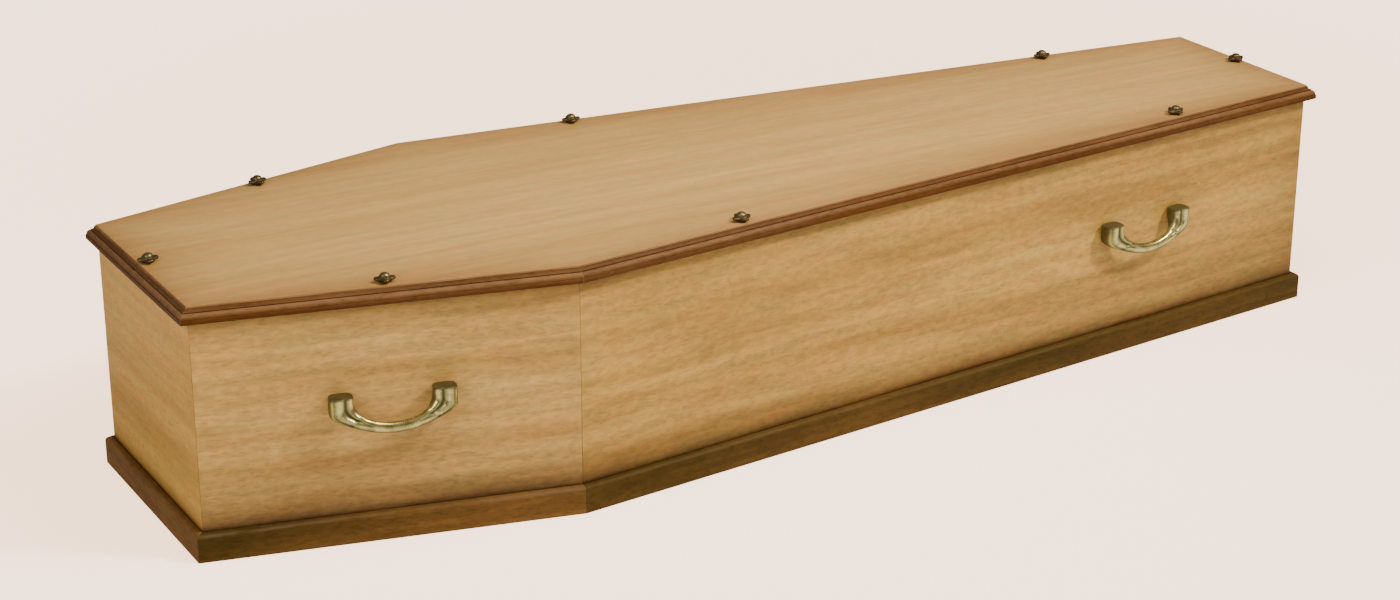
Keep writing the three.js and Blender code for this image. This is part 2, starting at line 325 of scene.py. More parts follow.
def pierced_plate(rim: np.ndarray, holes: list[np.ndarray]) -> np.ndarray:
    """A flat plate with round holes, cut into triangles.

    The triangles are Delaunay's, with the rim and the holes kept as edges. Those whose middle lies
    in a hole are left out.

    Args:
        rim: The plate's corners in the plane, anticlockwise.
        holes: The points round each hole.

    Returns:
        Triangles as rows of three numbers, which count the rim's points and then each hole's.
    """
    loops = [rim, *holes]
    starts = np.cumsum([0] + [len(loop) for loop in loops])
    edges = [
        [start + i, start + (i + 1) % len(loop)]
        for start, loop in zip(starts, loops)
        for i in range(len(loop))
    ]
    given = [Vector(point) for point in np.concatenate(loops).tolist()]
    points, _, faces, sources, _, _ = delaunay_2d_cdt(given, edges, [], 1, WELD)
    back = np.array([source[0] for source in sources])
    places = np.array([tuple(point) for point in points])
    triangles = np.array([list(face) for face in faces])
    middles = places[triangles].mean(axis=1)
    kept = np.ones(len(triangles), bool)
    for hole in holes:
        edge = np.roll(hole, -1, axis=0) - hole
        reach = middles[:, None] - hole[None]
        kept &= ~np.all(edge[:, 0] * reach[..., 1] > edge[:, 1] * reach[..., 0], axis=1)
    triangles = triangles[kept]
    corner = places[triangles]
    first, second = corner[:, 1] - corner[:, 0], corner[:, 2] - corner[:, 0]
    clockwise = first[:, 0] * second[:, 1] < first[:, 1] * second[:, 0]
    triangles[clockwise] = triangles[clockwise][:, ::-1]
    return back[triangles]


@dataclass(frozen=True)
class Outline:
    """The walls' six outer corners from above, anticlockwise from the right head corner."""

    corners: np.ndarray

    @classmethod
    def from_frame(cls) -> "Outline":
        """The base board's outline, moved out to the outer face of the head board.

        Returns:
            The walls' outline.
        """
        points = node_points("base_board")[:, :2]
        low, high = points.min(axis=0), points.max(axis=0)
        head = points[np.isclose(points[:, 0], low[0], atol=SAME_PLACE), 1].max()
        foot = points[np.isclose(points[:, 0], high[0], atol=SAME_PLACE), 1].max()
        shoulder = points[np.isclose(points[:, 1], high[1], atol=SAME_PLACE), 0].mean()
        right = np.array([[low[0], -head], [shoulder, low[1]], [high[0], -foot]])
        inner = cls(np.concatenate([right, right[::-1] * [1, -1]]))
        inset = np.array([low[0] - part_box("head_board")[0].x])
        return cls(np.array([inner.moved_corner(side, inset)[0] for side in range(len(SIDES))]))

    def corner(self, index: int) -> np.ndarray:
        """The corner at which a side starts."""
        return self.corners[index % len(self.corners)]

    def along(self, side: int) -> np.ndarray:
        """The direction in which a side runs."""
        return unit(self.corner(side + 1) - self.corner(side))

    def out(self, side: int) -> np.ndarray:
        """The direction straight out of a side's outer face."""
        return -left_of(self.along(side))

    def length(self, side: int) -> float:
        """A side's length along its outer face."""
        return float(np.linalg.norm(self.corner(side + 1) - self.corner(side)))

    def moved_corner(self, index: int, distance: np.ndarray) -> np.ndarray:
        """A corner after both of its sides have moved out.

        It moves along the mitre, by the distance times the sum of the two sides' outward
        directions over one plus their scalar product.

        Args:
            index: The corner.
            distance: How far the sides have moved, for as many cases as wanted.

        Returns:
            One row for each distance.
        """
        before, after = self.out(index - 1), self.out(index)
        mitre = (before + after) / (1 + before @ after)
        return self.corner(index) + distance[:, None] * mitre

    def set_back(self, index: int, gap: float) -> float:
        """How far a piece stops short of its mitre, so that half the gap is left there."""
        turn = math.acos(float(np.clip(self.along(index - 1) @ self.along(index), -1, 1)))
        return gap / 2 / math.cos(turn / 2)


@dataclass(frozen=True)
class MitredLength:
    """A straight length of wood with mitred ends: a section carried along one side."""

    outline: Outline
    side: int
    ease: float
    stations: int = 0
    gap: float = 0.3 * MM
    ease_steps: int = 5
    grain_shift: Triple = (3.7, 0.43, 0.91)

    def rings(self, section: np.ndarray) -> tuple[np.ndarray, np.ndarray, np.ndarray]:
        """The section at each place along the side.

        Near a mitre the section shrinks along its own normals, by ease times one less the sine of
        an angle, at a distance from the mitre of ease times one less its cosine, so that the end's
        arris is a quarter round. Every point runs from one mitre to the other.

        Args:
            section: Distance out of the wall's face, and height, anticlockwise.

        Returns:
            The points, ring by ring, each one's distances from the two mitres and from the foot,
            and 1 where the end's arris is eased.
        """
        outline, along = self.outline, self.outline.along(self.side)
        normal = -left_of(unit(np.roll(section, -1, axis=0) - np.roll(section, 1, axis=0)))
        step_in, shrink = quarter_round(self.ease, self.ease_steps)
        step_in, shrink = np.r_[step_in, 2 * self.ease], np.r_[shrink, 0.0]
        rounded = np.r_[np.ones(self.ease_steps + 1), 0.0]
        out_and_up = section[None] - shrink[:, None, None] * normal[None]
        plans = []
        for corner, way in ((self.side, 1), (self.side + 1, -1)):
            mitre = outline.moved_corner(corner, out_and_up[..., 0].ravel())
            back = (outline.set_back(corner, self.gap) + step_in)[:, None, None]
            plans.append(mitre.reshape(out_and_up.shape) + way * back * along)
        start, end = plans
        share = np.linspace(0, 1, self.stations + 2)[1:-1, None, None]
        middle = start[-1:] * (1 - share) + end[-1:] * share
        plan = np.concatenate([start, middle, end[::-1]])
        level = np.broadcast_to(out_and_up[-1:, :, 1], (self.stations, len(section)))
        height = np.concatenate([out_and_up[..., 1], level, out_and_up[::-1, :, 1]])
        from_start = (plan - outline.corner(self.side)) @ along
        from_end = outline.length(self.side) - from_start
        no_foot = np.full_like(from_start, NO_EDGE_NEAR)
        from_foot = {"right_side": from_end, "left_side": from_start}.get(SIDES[self.side], no_foot)
        ends = np.stack([from_start, from_end, from_foot], axis=-1)
        eased = np.r_[rounded, np.zeros(self.stations), rounded[::-1]][:, None]
        return np.concatenate([plan, height[..., None]], axis=-1), ends, eased

    def surface(self, section: np.ndarray, marks: Values) -> Surface:
        """The closed surface of a section carried from mitre to mitre.

        Args:
            section: Distance out of the wall's face, and height, anticlockwise.
            marks: The section's own values, one for each of its points.

        Returns:
            The surface with its grain, ends and arris values, and the section's own.
        """
        points, ends, eased = self.rings(section)
        out = (points[..., :2] - self.outline.corner(self.side)) @ self.outline.out(self.side)
        grain = np.stack([ends[..., 0], out, points[..., 2]], axis=-1)
        grain = grain + np.array(self.grain_shift) * (self.side + 1)
        values = {key: np.broadcast_to(mark, points.shape[:2]) for key, mark in marks.items()}
        arris = np.maximum(eased, marks["arris"])
        return capped_loft(points, {**values, "grain": grain, "ends": ends, "arris": arris})


class Nodes:
    """A node tree, with short ways to add and join its nodes."""

    def __init__(self, tree: bpy.types.NodeTree) -> None:
        """Keeps the tree and empties it."""
        self.tree = tree
        tree.nodes.clear()

    def add(self, kind: str, inputs: dict | None = None, **settings: object) -> bpy.types.Node:
        """Adds one node.

        Args:
            kind: The node's type, without its ShaderNode prefix where it has one.
            inputs: What goes into its sockets, by name or number: a socket or a value.
            settings: The node's own settings.

        Returns:
            The new node.
        """
        node = self.tree.nodes.new(kind if kind.startswith("Node") else "ShaderNode" + kind)
        for key, value in settings.items():
            setattr(node, key, value)
        for key, value in (inputs or {}).items():
            socket = node.inputs[key]
            if isinstance(value, Socket):
                self.tree.links.new(value, socket)
            elif socket.type == "RGBA" and len(value) == 3:
                socket.default_value = (*value, 1.0)
            else:
                socket.default_value = value
        return node

    def maths(self, operation: str, first: object, second: object) -> Socket:
        """One sum on two values."""
        return self.add("Math", {0: first, 1: second}, operation=operation).outputs[0]

    def plus(self, first: object, second: object) -> Socket:
        """Two values added up."""
        return self.maths("ADD", first, second)

    def minus(self, first: object, second: object) -> Socket:
        """The first value less the second."""
        return self.maths("SUBTRACT", first, second)

    def times(self, first: object, second: object) -> Socket:
        """Two values multiplied."""
        return self.maths("MULTIPLY", first, second)

    def at_least(self, first: object, second: object) -> Socket:
        """The larger of two values."""
        return self.maths("MAXIMUM", first, second)

    def at_most(self, first: object, second: object) -> Socket:
        """The smaller of two values."""
        return self.maths("MINIMUM", first, second)

    def spread(
        self, value: object, low: float, high: float, to_low: float = 0.0, to_high: float = 1.0
    ) -> Socket:
        """A value's range between low and high, carried smoothly to another range."""
        inputs = {
            "Value": value, "From Min": low, "From Max": high, "To Min": to_low, "To Max": to_high
        }
        return self.add("MapRange", inputs, interpolation_type="SMOOTHSTEP").outputs[0]

    def blend(self, share: object, first: object, second: object, way: str = "MIX") -> Socket:
        """A mix of two colours."""
        inputs = {0: share, 6: first, 7: second}
        return self.add("Mix", inputs, data_type="RGBA", blend_type=way).outputs[2]

    def tinted(self, colour: object, tint: object) -> Socket:
        """A colour multiplied by another."""
        return self.blend(1.0, colour, tint, "MULTIPLY")

    def dot(self, place: Socket, direction: Triple) -> Socket:
        """How far a place lies along a direction."""
        node = self.add("VectorMath", {0: place, 1: direction}, operation="DOT_PRODUCT")
        return node.outputs["Value"]

    def attribute(self, name: str, output: str = "Fac") -> Socket:
        """A value that the piece's own points carry."""
        return self.add("Attribute", attribute_name=name).outputs[output]

    def place(self) -> Socket:
        """The place on the piece's object."""
        return self.add("TexCoord").outputs["Object"]

    def part(self, place: Socket, axis: int) -> Socket:
        """One of a place's three parts."""
        return self.add("SeparateXYZ", {0: place}).outputs[axis]


@dataclass(frozen=True)
class Layer:
    """A layer of noise, drawn out along an axis by a smaller scale there, and its spread."""

    scale: Triple
    detail: float = 2.0
    rough: float = 0.5
    low: float = 0.3
    high: float = 0.7
    to: tuple[float, float] = (0.0, 1.0)

    def noise(self, nodes: Nodes, place: Socket) -> Socket:
        """The noise itself, from 0 to 1.

        Args:
            nodes: The node tree that it is drawn in.
            place: Where it is read.

        Returns:
            The noise.
        """
        drawn = nodes.add("VectorMath", {0: place, 1: self.scale}, operation="MULTIPLY").outputs[0]
        inputs = {"Vector": drawn, "Scale": 1.0, "Detail": self.detail, "Roughness": self.rough}
        return nodes.add("TexNoise", inputs).outputs[0]

    def sway(self, nodes: Nodes, place: Socket) -> Socket:
        """The noise less its middle value."""
        return nodes.minus(self.noise(nodes, place), 0.5)

    def spread(self, nodes: Nodes, place: Socket) -> Socket:
        """The noise between low and high, carried smoothly to the layer's own range."""
        return nodes.spread(self.noise(nodes, place), self.low, self.high, *self.to)


class Effect:
    """An effect that several finishes share, kept as one node group.

    It takes numbers by name, with their usual values, and a place where the value is None.
    """

    name: str = ""
    takes: dict[str, float | None] = {}
    gives: tuple[str, ...] = ()

    def __init__(self) -> None:
        """Makes the group with its sockets and lets the effect fill it."""
        self.group = bpy.data.node_groups.new(self.name, "ShaderNodeTree")
        interface = self.group.interface
        for name, value in self.takes.items():
            kind = "NodeSocketVector" if value is None else "NodeSocketFloat"
            socket = interface.new_socket(name=name, in_out="INPUT", socket_type=kind)
            if value is not None:
                socket.default_value = value
        for name in self.gives:
            interface.new_socket(name=name, in_out="OUTPUT", socket_type="NodeSocketFloat")
        nodes = Nodes(self.group)
        given = nodes.add("NodeGroupInput").outputs
        nodes.add("NodeGroupOutput", dict(zip(self.gives, self.fill(nodes, given))))

    def fill(self, nodes: Nodes, given: bpy.types.NodeOutputs) -> tuple[Socket, ...]:
        """Works out what the effect gives from what it is given."""
        raise NotImplementedError

    def use(self, nodes: Nodes, **inputs: object) -> bpy.types.NodeOutputs:
        """Places the effect in a finish and returns what it gives."""
        return nodes.add("Group", inputs, node_tree=self.group).outputs


class OakGrain(Effect):
    """The figure of straight-grained oak: broad bands, streaks, mottle, fibres and short pores."""

    name = "oak grain"
    takes = {"Place": None, "Sway": 0.012}
    gives = ("Bands", "Streaks", "Mottle", "Hue", "Pores", "Height")

    wander: Layer = Layer((1.3, 3.0, 3.0), 1.0)
    bands: Layer = Layer((0.8, 21, 21))
    streaks: Layer = Layer((6, 76, 76), rough=0.45)
    mottle: Layer = Layer((58, 135, 135), rough=0.45, high=0.72)
    hue: Layer = Layer((9, 44.2, 44.2), low=0.35, high=0.65)
    fibres: Layer = Layer((14, 900, 900))
    pores: Layer = Layer((95, 380, 380), 1.0)
    pore_range: tuple[float, float] = (0.56, 0.7)
    pores_in_dark: float = 0.06
    fibre_height: float = 0.35

    def fill(self, nodes: Nodes, given: bpy.types.NodeOutputs) -> tuple[Socket, ...]:
        """Draws each layer on a place that sways a little, with more pores in the dark streaks.

        Args:
            nodes: The group's nodes.
            given: Its inputs.

        Returns:
            What goes to its outputs.
        """
        sway = nodes.times(self.wander.sway(nodes, given["Place"]), given["Sway"])
        shift = nodes.add("CombineXYZ", {1: sway, 2: sway}).outputs[0]
        place = nodes.add("VectorMath", {0: given["Place"], 1: shift}, operation="ADD").outputs[0]
        streaks = self.streaks.spread(nodes, place)
        dense = nodes.times(nodes.minus(1.0, streaks), self.pores_in_dark)
        pores = nodes.spread(nodes.plus(self.pores.noise(nodes, place), dense), *self.pore_range)
        fibres = nodes.times(self.fibres.noise(nodes, place), self.fibre_height)
        bands, mottle, hue = (
            layer.spread(nodes, place) for layer in (self.bands, self.mottle, self.hue)
        )
        return bands, streaks, mottle, hue, pores, nodes.minus(fibres, pores)


class StainAndPaintedShade(Effect):
    """Darkening from an edge with a soft, slightly uneven border: partly sprayed stain, partly painted
    shade.
    """

    name = "sprayed shade"
    takes = {"Distance": 0.1, "Place": None, "Reach": 0.04}
    gives = ("Mask",)

    border: Layer = Layer((5, 12, 12))
    unevenness: float = 0.25

    def fill(self, nodes: Nodes, given: bpy.types.NodeOutputs) -> tuple[Socket, ...]:
        """The mask is e to the minus of distance over reach, plus a little noise.

        Args:
            nodes: The group's nodes.
            given: Its inputs.

        Returns:
            What goes to its output.
        """
        uneven = nodes.times(self.border.sway(nodes, given["Place"]), self.unevenness)
        share = nodes.plus(nodes.maths("DIVIDE", given["Distance"], given["Reach"]), uneven)
        share = nodes.times(nodes.at_least(share, 0.0), -1.0)
        return (nodes.maths("EXPONENT", share, 0.0),)


class RubbedEdgeAndHighlight(Effect):
    """Where an eased arris is painted paler, as a thinned finish and as a painted highlight, broken up
    along its length.
    """

    name = "rubbed edge"
    takes = {"Arris": 0.0, "Place": None}
    gives = ("Mask",)

    patches: Layer = Layer((9, 60, 60), 3.0, 0.6, 0.3, 0.65)

    def fill(self, nodes: Nodes, given: bpy.types.NodeOutputs) -> tuple[Socket, ...]:
        """The arris value times a patchy noise."""
        return (nodes.times(given["Arris"], self.patches.spread(nodes, given["Place"])),)


class Lacquer(Effect):
    """A satin lacquer film: faint ripples and a roughness that varies with handling and dust."""

    name = "lacquer"
    takes = {"Place": None, "Roughness": 0.4, "Variation": 0.08}
    gives = ("Roughness", "Height")

    handling: Layer = Layer((7, 11, 11), 4.0, 0.6)
    ripples: Layer = Layer((260, 320, 320), 1.0)

    def fill(self, nodes: Nodes, given: bpy.types.NodeOutputs) -> tuple[Socket, ...]:
        """Roughness plus twice the variation times broad noise, and a height of fine ripples.

        Args:
            nodes: The group's nodes.
            given: Its inputs.

        Returns:
            What goes to its outputs.
        """
        broad = self.handling.sway(nodes, given["Place"])
        change = nodes.times(broad, nodes.times(given["Variation"], 2.0))
        rough = nodes.plus(given["Roughness"], change)
        return rough, self.ripples.noise(nodes, given["Place"])


@dataclass(frozen=True)
class Effects:
    """The shared effects, each made once."""

    grain: OakGrain = field(default_factory=OakGrain)
    shade: StainAndPaintedShade = field(default_factory=StainAndPaintedShade)
    rubbed_and_highlit: RubbedEdgeAndHighlight = field(default_factory=RubbedEdgeAndHighlight)
    lacquer: Lacquer = field(default_factory=Lacquer)


class PlaceFrom(Enum):
    """Where a finish reads its place from."""

    GRAIN = "grain"
    OBJECT = "object"


def new_material(name: str) -> tuple[Material, Nodes]:
    """An empty material.

    Args:
        name: Its name.

    Returns:
        The material and its nodes.
    """
    material = bpy.data.materials.new(name)
    material.use_nodes = True
    return material, Nodes(material.node_tree)


class Ground:
    """What a finish is built on: a material with its nodes, the shared effects, and a place."""

    def __init__(self, name: str, effects: Effects, place: PlaceFrom) -> None:
        """Makes an empty material and reads the place that its patterns lie on.

        Args:
            name: The material's name.
            effects: The shared effects.
            place: Whether the place comes from the piece's points or from its object.
        """
        self.material, self.nodes = new_material(name)
        self.effects = effects
        from_points = place is PlaceFrom.GRAIN
        self.place = self.nodes.attribute("grain", "Vector") if from_points else self.nodes.place()

    def shade(self, distance: Socket, reach: float) -> Socket:
        """How much darkening, partly stain and partly painted shade, lies at a distance from an edge."""
        near = self.nodes.at_least(distance, 0.0)
        return self.effects.shade.use(self.nodes, Distance=near, Place=self.place, Reach=reach)[0]

    def close(self, shader_inputs: dict, height: Socket, depth: float) -> Material:
        """Adds the shader, its bump and the material's output.

        Args:
            shader_inputs: What goes into the shader's sockets.
            height: The bump's height, from 0 to 1.
            depth: The bump's depth in metres.

        Returns:
            The material.
        """
        bump = self.nodes.add("Bump", {"Strength": 1.0, "Distance": depth, "Height": height})
        shader_inputs = {**shader_inputs, "Normal": bump.outputs[0]}
        shader = self.nodes.add("BsdfPrincipled", shader_inputs)
        self.nodes.add("OutputMaterial", {0: shader.outputs[0]})
        return self.material


@dataclass(frozen=True, kw_only=True)
class WoodFinish:
    """What every wooden finish has: pores, arrises painted paler as wear and as a painted highlight, and a
    satin lacquer film.
    """

    name: str
    pore: Triple
    pore_share: float
    arris: Triple
    arris_share: float
    roughness: float
    variation: float
    specular: float
    bump_depth: float
    ripple_share: float = 0.2

    def pored(self, ground: Ground, grain: bpy.types.NodeOutputs, colour: Socket) -> Socket:
        """The colour with darker pores."""
        return ground.nodes.blend(
            ground.nodes.times(grain["Pores"], self.pore_share), colour, self.pore
        )

    def rubbed_and_highlit(self, ground: Ground, colour: Socket) -> Socket:
        """The colour with its arrises painted paler, as wear and as a painted highlight.

        Args:
            ground: What the finish is built on.
            colour: The wood's colour.

        Returns:
            The colour, paler on the arrises.
        """
        nodes = ground.nodes
        arris = nodes.attribute("arris")
        mask = ground.effects.rubbed_and_highlit.use(nodes, Arris=arris, Place=ground.place)[0]
        return nodes.blend(nodes.times(mask, self.arris_share), colour, self.arris)

    def lacquered(self, ground: Ground, grain: bpy.types.NodeOutputs, colour: Socket) -> Material:
        """Lays the film over the wood and closes the material.

        Args:
            ground: What the finish is built on.
            grain: The wood's figure.
            colour: The wood's colour.

        Returns:
            The material.
        """
        nodes = ground.nodes
        film = ground.effects.lacquer.use(
            nodes, Place=ground.place, Roughness=self.roughness, Variation=self.variation
        )
        height = nodes.plus(grain["Height"], nodes.times(film["Height"], self.ripple_share))
        inputs = {"Base Color": colour, "Roughness": film["Roughness"]}
        inputs["Specular IOR Level"] = self.specular
        return ground.close(inputs, height, self.bump_depth)


@dataclass(frozen=True, kw_only=True)
class OakFinish(WoodFinish):
    """Oak veneer under satin lacquer, darker along chosen edges with stain and painted shade."""

    pale: Triple
    deep: Triple
    place: PlaceFrom = PlaceFrom.GRAIN
    streak_depth: float = 0.12
    mottle_depth: float = 0.11
    lift: float = 0.5
    hues: tuple[Triple, Triple] = ((1.04, 0.975, 0.95), (0.965, 1.02, 1.0))
    board_tints: bool = False
    pore: Triple = (0.12, 0.055, 0.018)
    pore_share: float = 0.2
    arris: Triple = (0.6, 0.36, 0.13)
    arris_share: float = 0.3
    roughness: float = 0.5
    variation: float = 0.08
    specular: float = 0.16
    bump_depth: float = 0.05 * MM
    # Above the plinth the darkening is partly sprayed stain and partly painted shade in the corner; under
    # the lid, at the foot and near the lid's rims it is painted shade.
    shade_above: float = 0.0
    shade_reach: float = 0.0
    shade: Triple = (0.11, 0.078, 0.075)
    top_height: float = 0.0
    top_reach: float = 0.009
    top_share: float = 0.9
    foot_reach: float = 0.11
    foot_share: float = 0.6
    painted_edge_shade: Triple = (0.58, 0.57, 0.5)
    rims: tuple[tuple[Triple, float], ...] = ()
    rim_reach: float = 0.06
    painted_rim_shade: Triple = (0.64, 0.55, 0.51)

    def material(self, effects: Effects) -> Material:
        """Builds the material.

        Args:
            effects: The shared effects.

        Returns:
            The material.
        """
        ground = Ground(self.name, effects, self.place)
        nodes = ground.nodes
        grain = effects.grain.use(nodes, Place=ground.place)
        colour = nodes.blend(grain["Bands"], self.deep, self.pale)
        figured = nodes.minus(1.0, nodes.attribute("plain"))
        for layer, depth in (("Streaks", self.streak_depth), ("Mottle", self.mottle_depth)):
            light = 1.0 + depth * self.lift
            figure = nodes.spread(grain[layer], 0.0, 1.0, 1.0 - depth, light)
            colour = nodes.blend(figured, colour, figure, "MULTIPLY")
        colour = self.pored(ground, grain, colour)
        colour = nodes.tinted(colour, nodes.blend(grain["Hue"], *self.hues))
        if self.board_tints:
            colour = nodes.tinted(colour, nodes.attribute("tint", "Color"))
        if self.place is PlaceFrom.GRAIN:
            colour = self.rubbed_and_highlit(ground, colour)
        if self.shade_reach:
            colour = self.shaded(ground, colour)
        if self.rims:
            colour = self.rimmed(ground, colour)
        return self.lacquered(ground, grain, colour)

    def shaded(self, ground: Ground, colour: Socket) -> Socket:
        """The colour darker above the plinth, partly as stain and partly as painted shade, and with a
        little painted shade under the lid and at the foot.

        Args:
            ground: What the finish is built on.
            colour: The bare veneer's colour.

        Returns:
            The shaded colour.
        """
        nodes = ground.nodes
        height = nodes.part(nodes.place(), 2)
        from_foot = nodes.part(nodes.attribute("ends", "Vector"), 2)
        above = nodes.times(nodes.minus(height, self.shade_above), nodes.attribute("spray"))
        below = nodes.minus(self.top_height, height)
        edges = (
            (above, self.shade_reach, self.shade, 1.0),
            (below, self.top_reach, self.painted_edge_shade, self.top_share),
            (from_foot, self.foot_reach, self.painted_edge_shade, self.foot_share),
        )
        for distance, reach, shade, share in edges:
            mask = nodes.times(ground.shade(distance, reach), share)
            colour = nodes.blend(mask, colour, nodes.tinted(colour, shade))
        return colour

    def rimmed(self, ground: Ground, colour: Socket) -> Socket:
        """The colour a little darker near the rims, a painted shade.

        Each rim is given by its outward direction and its distance from the middle. The long
        halves mirror each other, so the distance is taken with the size of y alone.

        Args:
            ground: What the finish is built on.
            colour: The bare veneer's colour.

        Returns:
            The shaded colour.
        """
        nodes = ground.nodes
        spot = nodes.place()
        mirrored = nodes.maths("ABSOLUTE", nodes.part(spot, 1), 0.0)
        spot = nodes.add("CombineXYZ", {0: nodes.part(spot, 0), 1: mirrored}).outputs[0]
        nearest = NO_EDGE_NEAR
        for direction, reach in self.rims:
            nearest = nodes.at_most(nearest, nodes.minus(reach, nodes.dot(spot, direction)))
        mask = ground.shade(nearest, self.rim_reach)
        return nodes.blend(mask, colour, nodes.tinted(colour, self.painted_rim_shade))


@dataclass(frozen=True, kw_only=True)
class StainedFinish(WoodFinish):
    """A wooden moulding under coloured stain and satin lacquer, thinner and painted paler on its arrises
    as wear and a painted highlight, and darker in its recesses as stain and painted shade.
    """

    dark: Triple
    light: Triple
    warm: Triple
    pore: Triple = (0.012, 0.006, 0.003)
    pore_share: float = 0.2
    arris_share: float = 0.6
    roughness: float = 0.45
    variation: float = 0.07
    specular: float = 0.035
    bump_depth: float = 0.06 * MM
    sway: float = 0.004
    streak_share: float = 0.6
    mottle_share: float = 0.4
    drift: Layer = Layer((2.2, 6, 6), 1.0, low=0.35, high=0.65, to=(-0.12, 0.12))
    warm_range: tuple[float, float, float, float] = (0.2, 0.8, 0.86, 1.12)
    # Recesses are painted darker, partly as stain gathering there and partly as painted shade.
    recess_stain_and_shade: Triple = (0.03, 0.012, 0.003)
    recess_stain_and_shade_share: float = 0.75

    def material(self, effects: Effects) -> Material:
        """Builds the material.

        Args:
            effects: The shared effects.

        Returns:
            The material.
        """
        ground = Ground(self.name, effects, PlaceFrom.GRAIN)
        nodes = ground.nodes
        grain = effects.grain.use(nodes, Place=ground.place, Sway=self.sway)
        streaks = nodes.times(grain["Streaks"], self.streak_share)
        figure = nodes.plus(streaks, nodes.times(grain["Mottle"], self.mottle_share))
        colour = nodes.blend(figure, self.dark, self.light)
        # Where tone is high the stain is painted warmer and lighter: a painted highlight on the ovolo and
        # a painted bounce light low on the plinths.
        warm = nodes.plus(nodes.attribute("tone"), self.drift.spread(nodes, ground.place))
        warm = nodes.at_least(nodes.at_most(warm, 1.0), 0.0)
        lit = nodes.tinted(self.warm, nodes.spread(figure, *self.warm_range))
        colour = self.pored(ground, grain, nodes.blend(warm, colour, lit))
        recess_stain_and_shade = nodes.times(nodes.attribute("groove"), self.recess_stain_and_shade_share)
        colour = self.rubbed_and_highlit(ground, nodes.blend(recess_stain_and_shade, colour, self.recess_stain_and_shade))
        return self.lacquered(ground, grain, colour)


@dataclass(frozen=True, kw_only=True)
class CastFinish:
    """Cast metal, dark with patina in its hollows and with painted shade, and bright with wear and painted
    highlights on its high places.
    """

    name: str
    bright: Triple
    dull: Triple
    patina_and_shade: Triple
    rubbed_and_highlit: Triple
    roughness: float = 0.26
    variation: float = 0.08
    cloud: Layer = Layer((55, 55, 55), 4.0, 0.65, 0.35, 0.65)
    speck: Layer = Layer((420, 420, 420), 3.0, 0.6, 0.45, 0.7)
    speck_share: float = 0.15
    patina_and_shade_share: float = 0.9
    patina_roughness: float = 0.25
    patina_metal: float = 0.55
    rubbed_and_highlit_range: tuple[float, float, float, float] = (0.1, 0.7, 0.5, 1.0)
    rubbed_and_highlit_share: float = 0.55
    rubbed_and_highlit_gloss: float = 0.06
    grit: Layer = Layer((900, 900, 900))
    grit_share: float = 0.3
    dents: Layer = Layer((130, 130, 130))
    bump_depth: float = 0.25 * MM

    def material(self, effects: Effects) -> Material:
        """Builds the material.

        Args:
            effects: The shared effects.

        Returns:
            The material.
        """
        ground = Ground(self.name, effects, PlaceFrom.OBJECT)
        nodes, place = ground.nodes, ground.place
        cloud = self.cloud.spread(nodes, place)
        speck = nodes.times(self.speck.spread(nodes, place), self.speck_share)
        # Dark: patina in the hollows, together with painted shade and, on the handles' lug tops, a painted
        # reflection.
        mask = nodes.at_most(nodes.plus(nodes.attribute("hollow"), speck), 1.0)
        mask = nodes.times(mask, self.patina_and_shade_share)
        colour = nodes.blend(mask, nodes.blend(cloud, self.dull, self.bright), self.patina_and_shade)
        # Bright: wear on the high places, together with a painted highlight.
        rubbed_and_highlit = nodes.times(nodes.attribute("worn"), nodes.spread(cloud, *self.rubbed_and_highlit_range))
        colour = nodes.blend(nodes.times(rubbed_and_highlit, self.rubbed_and_highlit_share), colour, self.rubbed_and_highlit)
        film = effects.lacquer.use(
            nodes, Place=place, Roughness=self.roughness, Variation=self.variation
        )
        rough = nodes.plus(film["Roughness"], nodes.times(mask, self.patina_roughness))
        rough = nodes.minus(rough, nodes.times(rubbed_and_highlit, self.rubbed_and_highlit_gloss))
        metal = nodes.spread(mask, 0.0, 1.0, 1.0, self.patina_metal)
        grit = nodes.times(self.grit.noise(nodes, place), self.grit_share)
        height = nodes.plus(grit, self.dents.noise(nodes, place))
        inputs = {"Base Color": colour, "Roughness": rough, "Metallic": metal}
        return ground.close(inputs, height, self.bump_depth)


@dataclass(frozen=True)
class RoundHoles:
    """Round holes drilled straight down at several places."""

    places: list[np.ndarray]
    radius: float
    bottom: float

    def circles(self) -> list[np.ndarray]:
        """Circles of equal steps round the places.

        Returns:
            The points round each hole, seen from above.
        """
        angle = np.linspace(0, 2 * math.pi, HOLE_STEPS, endpoint=False)
        ring = np.stack([np.cos(angle), np.sin(angle)], axis=1) * self.radius
        return [place + ring for place in self.places]

    def drill(self, surface: Surface, rim: list[int], blind: bool) -> None:
        """Closes a flat face with a plate that has the holes in it, and adds their walls.

        A hole is a circle of points in the plate, the same circle at the bottom height, the quads
        between the two and, where it is blind, a floor.

        Args:
            surface: The piece, which is changed.
            rim: The points round the flat face, anticlockwise from above.
            blind: Whether the holes get floors.
        """
        circles = self.circles()
        first, below = len(surface.points), HOLE_STEPS * len(circles)
        numbers = np.r_[rim, first : first + below]
        triangles = pierced_plate(surface.points[rim][:, :2], circles)
        surface.faces += numbers[triangles].tolist()
        turn = np.arange(HOLE_STEPS)
        after = (turn + 1) % HOLE_STEPS
        for top in range(first, first + below, HOLE_STEPS):
            low = top + below
            walls = [top + turn, top + after, low + after, low + turn]
            surface.faces += np.stack(walls, axis=1).tolist()
            if blind:
                surface.faces.append(list(range(low, low + HOLE_STEPS)))
        mouths = np.concatenate(circles)
        shift = surface.values["grain"][rim[0]] - surface.points[rim[0]]
        for level in (surface.points[rim[0], 2], self.bottom):
            row = np.c_[mouths, np.full(below, level)]
            surface.points = np.concatenate([surface.points, row])
            for key, value in surface.values.items():
                more = row + shift if key == "grain" else np.repeat(value[rim[:1]], below, axis=0)
                surface.values[key] = np.concatenate([value, more])


